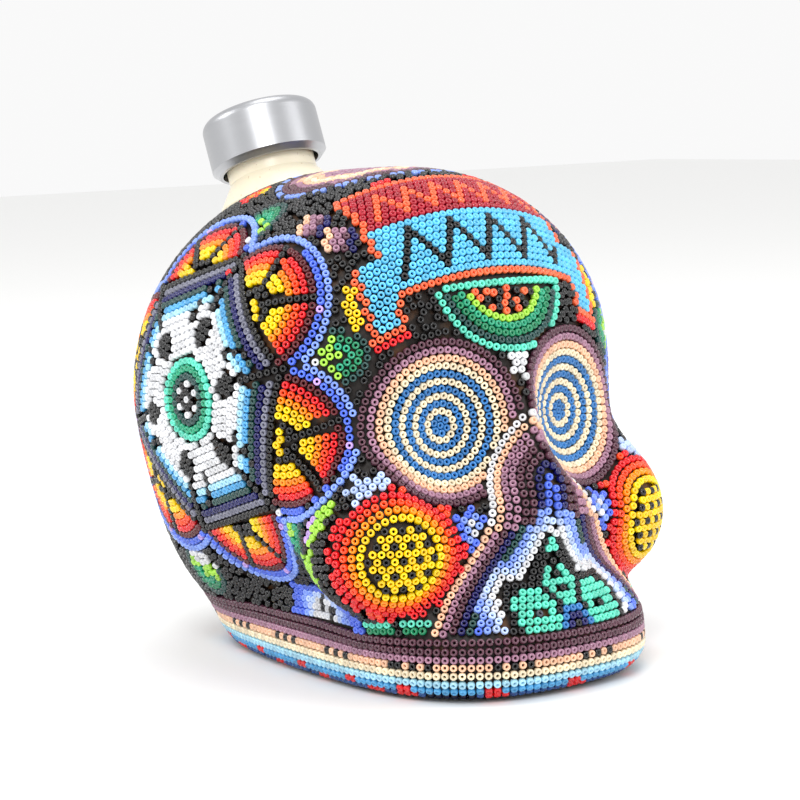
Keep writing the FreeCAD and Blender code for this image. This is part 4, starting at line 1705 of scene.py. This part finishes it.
@dataclass
class SmallSigns:
    """Little pictures set in the black between the large ones."""

    diamond: tuple[str, ...] = (".yy.", "yyy.", ".yyy", "yyy.", ".yyy", ".yy.", "..y.")
    stripes: tuple[str, ...] = ("pmmn", "pmun", "pmmn", "pmun")
    star: tuple[str, ...] = (".b..b.", ".bbbb.", "bbbbb.", ".bbbb.", ".b..b.")
    lime_star: tuple[str, ...] = (".l..l.", ".llll.", "lllll.", ".llll.", ".l..l.")
    nose_leaf: tuple[str, ...] = ("..P..", ".PCP.", "PCwCP", "PCwwP", ".PCP.", "..P..")
    dashes: tuple[str, ...] = ("tttt.tttt.tttt", "gggg.gggg.gggg", "TTTT.TTTT.TTTT")
    red_dash: tuple[str, ...] = ("rrr.", ".rr.")
    flame: tuple[str, ...] = ("..r..", ".rvr.", "rvovr", ".voov", "..yy.")
    hook_block: tuple[str, ...] = (
        "PPPPPPPPPPPPPPPP", "PPCCbbkbbbCCPPPP", "PPCbbwkwwbbCCPPP", "PPCbwwkwkkbbCPPP",
        "PPPCbwwwwkwbCCPP", "PPPPCbbbbkbbCCPP")
    strip: tuple[str, ...] = ("..l", ".ll", "Lll", "Lll", "Lll", "Ll.", "Ll.", ".l.")

    def lay(self, book: BeadBook, skin: Skin) -> None:
        """Lays every sign on the right and mirrors it.

        Args:
            book: Where beads go.
            skin: The surface.
        """
        up = (0.0, 0.0, 1.0)
        signs = (
            (self.diamond, (-39.2, -27.6, 98.2), up, -8.0),
            (self.stripes, (-36.2, -7.5, 117.2), up, 0.0),
            (self.stripes, (-35.4, -17.0, 113.8), up, 0.0),
            (self.star, (-45.2, -38.4, 55.1), up, 10.0),
            (self.nose_leaf, (-22.2, -51.4, 43.6), up, -20.0),
            (self.lime_star, (-50.6, -19.4, 31.4), up, 0.0),
            (self.strip, (-53.2, -26.0, 45.0), up, -18.0),
            (self.dashes, (-37.6, -44.8, 18.6), up, 0.0),
            (self.red_dash, (-14.0, -10.2, 127.6), (0.0, 1.0, 0.4), 0.0),
            (self.flame, (-23.5, 36.0, 124.0), (0.0, 1.0, 0.4), 30.0),
            (self.hook_block, (-41.5, -11.0, 21.3), up, 3.0),
        )
        for rows, spot, above, turn in signs:
            lay_chart(book, Chart.at(skin, spot, above, turn), rows, "black_field", True)


@dataclass
class BrowDiamond:
    """White drop between the eyes."""

    rows: tuple[str, ...] = (".www", ".www", ".ww.", "..w.")
    spot: tuple[float, float, float] = (-0.9, -45.0, 80.9)

    def lay(self, book: BeadBook, skin: Skin) -> None:
        """Lays the drop."""
        lay_chart(book, Chart.at(skin, self.spot, (0.0, 0.0, 1.0)), self.rows, "brow_diamond", False)


@dataclass
class FieldPacker:
    """Fills all that is left, each new bead nestling against those already there.

    Args:
        skin: The surface.
        count: Random places that are tried.
        seed: Fixed seed for them.
        closest: Least distance between beads.
        lowest: Height below which none is laid.
        reach: Distance within which a bead counts as near a place.
        least: Distance at which a packed bead is still kept after it settles.
    """

    skin: Skin
    count: int = 230_000
    seed: int = 11
    closest: float = 1.90
    lowest: float = 2.2
    reach: float = 4.2
    least: float = 1.5

    def fill(self, book: BeadBook, pictures: Sequence[Picture],
             neck_clear: Callable[[Points], np.ndarray]) -> None:
        """Packs beads until none fits.

        Args:
            book: Where beads go.
            pictures: Areas that colour the beads in their own gaps.
            neck_clear: Tells which places the neck leaves free.
        """
        places = self.skin.sprinkle(self.count, self.seed)
        places = places[(places[:, 2] > self.lowest) & neck_clear(places)]
        grid: dict[tuple[int, int, int], list[int]] = {}
        keys = np.floor(places / CELL).astype(int)
        for n, key in enumerate(map(tuple, keys.tolist())):
            grid.setdefault(key, []).append(n)
        blocks = {key: np.array(v) for key, v in grid.items()}
        first = np.full(len(places), FAR)
        second = np.full(len(places), FAR)

        def meet(spot: np.ndarray) -> np.ndarray:
            """Notes a bead in the two nearest distances of the places round it."""
            x, y, z = (int(c) for c in np.floor(spot / CELL))
            near = [blocks[(i, j, k)] for i in range(x - 2, x + 3) for j in range(y - 2, y + 3)
                    for k in range(z - 2, z + 3) if (i, j, k) in blocks]
            if not near:
                return np.zeros(0, int)
            near = np.concatenate(near)
            gap = np.linalg.norm(places[near] - spot, axis=1)
            close = gap < self.reach
            near, gap = near[close], gap[close]
            nearer = gap < first[near]
            second[near] = np.where(nearer, first[near], np.minimum(second[near], gap))
            first[near] = np.where(nearer, gap, first[near])
            return near[first[near] >= self.closest]

        for spot in book.spots:
            meet(spot)
        heap = [(float(first[n] + second[n]), int(n))
                for n in np.flatnonzero((first >= self.closest) & (first < FAR))]
        heapify(heap)
        laid = []
        while heap:
            score, n = heappop(heap)
            if first[n] < self.closest or score > first[n] + second[n] + HAIR:
                continue
            laid.append(places[n])
            for m in meet(places[n]).tolist():
                heappush(heap, (float(first[m] + second[m]), m))
        self.colour(book, np.array(laid), pictures)

    def colour(self, book: BeadBook, spots: Points, pictures: Sequence[Picture]) -> None:
        """Gives packed beads to the picture they fell in, or to the black field.

        Args:
            book: Where beads go.
            spots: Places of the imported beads.
            pictures: The areas, the first of which to claim a bead has it.
        """
        spots, leans = self.skin.settle(spots)
        fold = np.where(spots[:, :1] > 0, -1.0, 1.0) * (1.0, 0.0, 0.0) + (0.0, 1.0, 1.0)
        tones = np.full(len(spots), NUMBER[Tone.BLACK])
        pieces = np.full(len(spots), "black_field", dtype=object)
        free = np.ones(len(spots), bool)
        for picture in pictures:
            flip = fold if picture.sides else np.ones_like(fold)
            own, lean = spots * flip, leans * flip
            mine = free & picture.claims(own, lean)
            if not mine.any():
                continue
            rows = picture.row_of(own[mine])
            tones[mine] = picture.rule(np.maximum(rows, 0), picture.chart.flatten(own[mine]))
            names = [picture.piece.format("right" if x <= 0 else "left") for x in spots[mine, 0]]
            pieces[mine] = names
            free &= ~mine
        for spot, tone, piece in zip(spots, tones, pieces):
            book.lay(spot, int(tone), piece, self.least)


# ---- Meshes ----

@dataclass
class BeadMaker:
    """Turns laid beads into meshes with a geometry tree: one small ring of glass per bead."""

    around: int = 9
    section: int = 6
    seed: int = 5
    tilt: float = 0.05
    scale: tuple[float, float] = (0.995, 0.018)
    materials: dict[tuple[int, int], bpy.types.Material] = field(default_factory=dict)

    def material(self, tone: int, shade: int) -> bpy.types.Material:
        """The glass of one colour and strength, made once."""
        if (tone, shade) not in self.materials:
            self.materials[tone, shade] = SeedBeadGlass(TONES[tone], STRENGTHS[shade]).build()
        return self.materials[tone, shade]

    def tree(self, name: str, glasses: Sequence[tuple[int, int]]) -> bpy.types.NodeTree:
        """Geometry tree that sets a ring on every point and gives each its glass.

        Args:
            name: The tree's name.
            glasses: The colour and strength pairs present.

        Returns:
            The tree.
        """
        tree = bpy.data.node_groups.new(name, "GeometryNodeTree")
        face = tree.interface
        face.new_socket("Geometry", in_out="INPUT", socket_type="NodeSocketGeometry")
        for label in ("Bead across", "Hole across", "Bead height"):
            face.new_socket(label, in_out="INPUT", socket_type="NodeSocketFloat")
        face.new_socket("Geometry", in_out="OUTPUT", socket_type="NodeSocketGeometry")
        given = add_node(tree, "NodeGroupInput")
        across, hole, tall = (given.outputs[k] for k in (1, 2, 3))
        both = add_node(tree, "ShaderNodeMath", {"operation": "ADD"}, {0: across, 1: hole})
        middle = add_node(tree, "ShaderNodeMath", {"operation": "MULTIPLY", "in:1": 0.25},
                          {0: both.outputs[0]})
        wall = add_node(tree, "ShaderNodeMath", {"operation": "SUBTRACT"}, {0: across, 1: hole})
        half_wall = add_node(tree, "ShaderNodeMath", {"operation": "MULTIPLY", "in:1": 0.25},
                             {0: wall.outputs[0]})
        half_tall = add_node(tree, "ShaderNodeMath", {"operation": "MULTIPLY", "in:1": 0.5},
                             {0: tall})
        hoop = add_node(tree, "GeometryNodeCurvePrimitiveCircle",
                        {"in:Resolution": self.around}, {"Radius": middle.outputs[0]})
        lip = add_node(tree, "GeometryNodeCurvePrimitiveCircle",
                       {"in:Resolution": self.section, "in:Radius": 1.0})
        size = add_node(tree, "ShaderNodeCombineXYZ", {"in:2": 1.0},
                        {0: half_wall.outputs[0], 1: half_tall.outputs[0]})
        oval = add_node(tree, "GeometryNodeTransform", {},
                        {"Geometry": lip.outputs[0], "Scale": size.outputs[0]})
        glass = add_node(tree, "GeometryNodeCurveToMesh", {},
                         {"Curve": hoop.outputs[0], "Profile Curve": oval.outputs[0]})
        lean = add_node(tree, "GeometryNodeInputNamedAttribute",
                        {"data_type": "FLOAT_VECTOR", "in:Name": "lean"})
        size_of = add_node(tree, "GeometryNodeInputNamedAttribute",
                           {"data_type": "FLOAT", "in:Name": "size"})
        turned = add_node(tree, "FunctionNodeAlignRotationToVector", {"axis": "Z"},
                          {"Vector": lean.outputs[0]})
        spread = add_node(tree, "GeometryNodeInstanceOnPoints", {},
                          {"Points": given.outputs[0], "Instance": glass.outputs[0],
                           "Rotation": turned.outputs[0], "Scale": size_of.outputs[0]})
        flow = add_node(tree, "GeometryNodeRealizeInstances", {},
                        {"Geometry": spread.outputs[0]}).outputs[0]
        flow = add_node(tree, "GeometryNodeSetShadeSmooth", {}, {"Geometry": flow}).outputs[0]
        mark = add_node(tree, "GeometryNodeInputNamedAttribute",
                        {"data_type": "INT", "in:Name": "glass"})
        for n, pair in enumerate(glasses):
            same = add_node(tree, "FunctionNodeCompare", {"data_type": "INT", "operation": "EQUAL",
                                                          "in:3": n}, {2: mark.outputs[0]})
            flow = add_node(tree, "GeometryNodeSetMaterial", {"in:Material": self.material(*pair)},
                            {"Geometry": flow, "Selection": same.outputs[0]}).outputs[0]
        add_node(tree, "NodeGroupOutput", links={0: flow})
        return tree

    def build(self, name: str, spots: Points, leans: Points, tones: np.ndarray) -> bpy.types.Object:
        """Makes one mat of beads.

        Args:
            name: The piece's name.
            spots: Bead middles in millimetres.
            leans: Bead axes.
            tones: Colour numbers.

        Returns:
            The finished object, a plain mesh at the origin.
        """
        rng = np.random.default_rng(self.seed + len(spots))
        shades = rng.choice(len(SHARES), len(spots), p=SHARES)
        glasses = list(zip(tones.tolist(), shades.tolist()))
        pairs = sorted(set(glasses))
        index = {pair: n for n, pair in enumerate(pairs)}
        mesh = bpy.data.meshes.new(name + "_points")
        mesh.from_pydata((spots * MM).tolist(), [], [])
        tilted = unit(leans + rng.normal(0.0, self.tilt, leans.shape))
        scales = rng.normal(*self.scale, len(spots))
        for label, kind, slot, values in (
                ("lean", "FLOAT_VECTOR", "vector", tilted.astype(np.float32).ravel()),
                ("size", "FLOAT", "value", scales.astype(np.float32)),
                ("glass", "INT", "value", np.array([index[g] for g in glasses], np.int32))):
            mesh.attributes.new(label, kind, "POINT").data.foreach_set(slot, values)
        source = bpy.data.objects.new(name + "_source", mesh)
        bpy.context.scene.collection.objects.link(source)
        modifier = source.modifiers.new("beads", "NODES")
        modifier.node_group = self.tree(name + "_tree", pairs)
        sizes = {"Bead across": SIZES.across, "Hole across": SIZES.hole, "Bead height": SIZES.tall}
        for item in modifier.node_group.interface.items_tree:
            if item.item_type == "SOCKET" and item.name in sizes:
                modifier[item.identifier] = sizes[item.name] * MM
        graph = bpy.context.evaluated_depsgraph_get()
        plain = bpy.data.meshes.new_from_object(source.evaluated_get(graph))
        plain.name = name
        bpy.data.objects.remove(source)
        for attribute in list(plain.attributes):
            if attribute.name in ("lean", "size", "glass"):
                plain.attributes.remove(attribute)
        piece = bpy.data.objects.new(name, plain)
        bpy.context.scene.collection.objects.link(piece)
        return piece


@dataclass
class Beadwork:
    """All the beads on the bottle."""

    heart: tuple[float, float, float] = (0.0, 10.0, 60.0)
    neck_foot_y: float = 9.1
    neck_lean: float = 21.0
    neck_room: float = 17.8
    neck_start: float = 90.0
    relax_rounds: int = 6
    eased_gap: float = 2.03
    push_share: float = 0.35
    most_push: float = 0.4
    face_end: float = -14.0
    back_start: float = 40.0
    most_beads: int = 1500

    def neck_clear(self, places: Points) -> np.ndarray:
        """Which places the neck leaves free.

        Args:
            places: Places in millimetres.
        """
        a = math.radians(self.neck_lean)
        axis = np.array((0.0, math.sin(a), math.cos(a)))
        away = places - (0.0, self.neck_foot_y, 0.0)
        along = away @ axis
        radius = np.linalg.norm(away - along[:, None] * axis, axis=1)
        return (radius > self.neck_room) | (along < self.neck_start)

    def lay_all(self, skin: Skin) -> BeadBook:
        """Lays the pictures, then packs the black field round them.

        Args:
            skin: The surface.
        """
        book = BeadBook()
        pictures: list[Picture] = []
        JawBand().lay(book, skin)
        pictures += NosePanel().lay(book, skin)
        EyeRoundel().lay(book, skin)
        pictures += CheekSun().lay(book, skin)
        Banner().lay(book, skin)
        BrowDiamond().lay(book, skin)
        pictures += FruitSlice().lay(book, skin)
        pictures += Medallion().lay(book, skin)
        pictures += Crown().lay(book, skin)
        SmallSigns().lay(book, skin)
        pictures += NotchLeaves().lay(book, skin)
        LOG.info("beads in pictures: %d", len(book.spots))
        FieldPacker(skin).fill(book, pictures, self.neck_clear)
        LOG.info("beads in all: %d", len(book.spots))
        return book

    def relaxed(self, spots: Points, skin: Skin) -> tuple[Points, Points]:
        """Eases beads that press into each other apart, along the skin.

        Args:
            spots: Bead places.
            skin: The surface.

        Returns:
            The eased places and the outward directions there.
        """
        places, leans = skin.settle(spots)
        for _ in range(self.relax_rounds):
            order = np.argsort(places[:, 2], kind="stable")
            push = np.zeros_like(places)
            sorted_z = places[order, 2]
            ends = np.searchsorted(sorted_z, sorted_z + SIZES.gap)
            for k in range(len(order)):
                window = order[k + 1:ends[k]]
                if not len(window):
                    continue
                away = places[window] - places[order[k]]
                gap = np.sqrt((away * away).sum(1))
                close = gap < self.eased_gap
                if close.any():
                    shove = away[close] * ((self.eased_gap - gap[close]) * self.push_share
                                           / np.maximum(gap[close], 0.2))[:, None]
                    push[window[close]] += shove
                    push[order[k]] -= shove.sum(0)
            places, leans = skin.settle(places + np.clip(push, -self.most_push, self.most_push))
        return places, leans

    def build(self) -> None:
        """Makes a piece for every mat, and several for the black field."""
        skin = Skin.of_node(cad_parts["wax_coat"], self.heart)
        book = self.lay_all(skin)
        keep = self.neck_clear(np.array(book.spots))
        spots = np.array(book.spots)[keep]
        tones = np.array(book.tones)[keep]
        pieces = np.array(book.pieces, dtype=object)[keep]
        places, leans = self.relaxed(spots, skin)
        middles = places + leans * SIZES.rise
        maker = BeadMaker()
        for name in sorted(set(pieces)):
            mine = np.flatnonzero(pieces == name)
            if name == "black_field":
                self.build_field(maker, mine, middles, leans, tones)
                continue
            self.finish_piece(maker.build("beads_" + name, middles[mine], leans[mine], tones[mine]),
                              name, len(mine))

    def build_field(self, maker: BeadMaker, mine: np.ndarray, middles: Points, leans: Points,
                    tones: np.ndarray) -> None:
        """Splits the field into parts small enough to handle.

        Args:
            maker: Makes the meshes.
            mine: Numbers of the field's beads.
            middles: All bead middles.
            leans: All bead axes.
            tones: All colour numbers.
        """
        x, y, _ = middles[mine].T
        band = np.where(y < self.face_end, 0, np.where(y < self.back_start, 1, 2))
        for n, label in enumerate(("face", "side", "back")):
            for m, side in enumerate(("right", "left")):
                part = mine[(band == n) & ((x > 0.0) == bool(m))]
                part = part[np.argsort(middles[part, 2], kind="stable")]
                count = math.ceil(len(part) / self.most_beads)
                for k, share in enumerate(np.array_split(part, max(1, count))):
                    piece = maker.build(f"beads_field_{label}_{side}_{k + 1}", middles[share],
                                        leans[share], tones[share])
                    self.finish_piece(piece, "black_field", len(share))

    def finish_piece(self, piece: bpy.types.Object, node: str, count: int) -> None:
        """Hands a mat to the frame.

        Args:
            piece: The mat's object.
            node: The node whose place it takes.
            count: How many beads it has.
        """
        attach(piece, "bottle_body")
        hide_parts(node)
        LOG.info("%s: %d beads, %d faces", piece.name, count, len(piece.data.polygons))


@dataclass
class Hardware:
    """The parts that keep their own shape: bottle, wax, cap and stopper."""

    finishes: dict[str, Any] = field(default_factory=lambda: {
        "bottle": GlazedNeck(), "wax_coat": CampecheWax(), "cap_shell": SatinAluminium(),
        "stopper_head": MouldedBlack(), "cork_shank": PressedCork()})

    def dress(self) -> None:
        """Gives each node its finish."""
        for stem, finish in self.finishes.items():
            material = finish.build()
            for name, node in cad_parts.items():
                if name.startswith(stem):
                    node.data.materials.clear()
                    node.data.materials.append(material)
                    LOG.info("%s: %s", name, material.name)


# ---- Studio ----

@dataclass
class Studio:
    """Paper floor, soft boxes and the camera. Lengths in metres."""

    look_at: tuple[float, float, float] = (0.05297, 0.0710, 0.05838)
    azimuth: float = -38.52
    elevation: float = 6.72
    roll: float = 1.76
    distance: float = 0.8
    lens: float = 120.96
    floor_size: float = 6.0
    aim: tuple[float, float, float] = (0.0, 0.02, 0.07)
    lights: tuple[tuple[str, tuple[float, float, float], float, float], ...] = (
        ("key", (-0.75, -0.75, 1.05), 0.5, 8.5), ("fill", (0.75, -0.95, 0.55), 0.7, 3.2),
        ("rim", (-0.9, 0.6, 0.7), 0.5, 3.0), ("top", (0.1, 0.1, 1.3), 0.7, 4.0))
    ambient: float = 0.95

    def axes(self) -> tuple[Vector, Vector, Vector]:
        """Directions of the camera's right, up and back."""
        a, e, r = (math.radians(v) for v in (self.azimuth, self.elevation, self.roll))
        back = Vector((math.sin(a) * math.cos(e), -math.cos(a) * math.cos(e), math.sin(e)))
        right = Vector((math.cos(a), math.sin(a), 0.0))
        up = back.cross(right)
        return right * math.cos(r) - up * math.sin(r), right * math.sin(r) + up * math.cos(r), back

    def camera(self) -> None:
        """Places the camera."""
        right, up, back = self.axes()
        data = bpy.data.cameras.new("view")
        data.lens = self.lens
        data.sensor_width = 36.0
        data.clip_start, data.clip_end = 0.01, 50.0
        made = bpy.data.objects.new("view", data)
        turn = Matrix((right, up, back)).transposed().to_4x4()
        made.matrix_world = Matrix.Translation(Vector(self.look_at) + back * self.distance) @ turn
        bpy.context.scene.collection.objects.link(made)
        bpy.context.scene.camera = made

    def floor(self) -> None:
        """Lays the paper."""
        h = self.floor_size / 2.0
        mesh = bpy.data.meshes.new("paper_floor")
        mesh.from_pydata([(-h, -h, 0.0), (h, -h, 0.0), (h, h, 0.0), (-h, h, 0.0)], [],
                         [(0, 1, 2, 3)])
        made = bpy.data.objects.new("paper_floor", mesh)
        mesh.materials.append(PaperSweep().build())
        bpy.context.scene.collection.objects.link(made)

    def soft_box(self, name: str, at: tuple[float, float, float], size: float,
                 power: float) -> None:
        """Square light that faces the object.

        Args:
            name: Its name.
            at: Where it stands.
            size: Its side.
            power: Its power in watts.
        """
        data = bpy.data.lights.new(name, "AREA")
        data.shape = "SQUARE"
        data.size = size
        data.energy = power
        made = bpy.data.objects.new(name, data)
        aim = Vector(self.aim) - Vector(at)
        made.matrix_world = Matrix.Translation(Vector(at)) @ aim.to_track_quat(
            "-Z", "Y").to_matrix().to_4x4()
        bpy.context.scene.collection.objects.link(made)

    def build(self) -> None:
        """Sets up the whole studio."""
        self.camera()
        self.floor()
        for light in self.lights:
            self.soft_box(*light)
        world = bpy.data.worlds.new("studio")
        world.use_nodes = True
        back = world.node_tree.nodes["Background"]
        back.inputs[0].default_value = linear("FFFFFF")
        back.inputs[1].default_value = self.ambient
        bpy.context.scene.world = world
        bpy.context.scene.view_settings.view_transform = "Standard"


def main() -> None:
    """Builds the object and its studio."""
    logging.basicConfig(level=logging.INFO, format="%(name)s: %(message)s")
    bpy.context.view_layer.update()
    Hardware().dress()
    Beadwork().build()
    Studio().build()


if __name__ == "__main__":
    main()
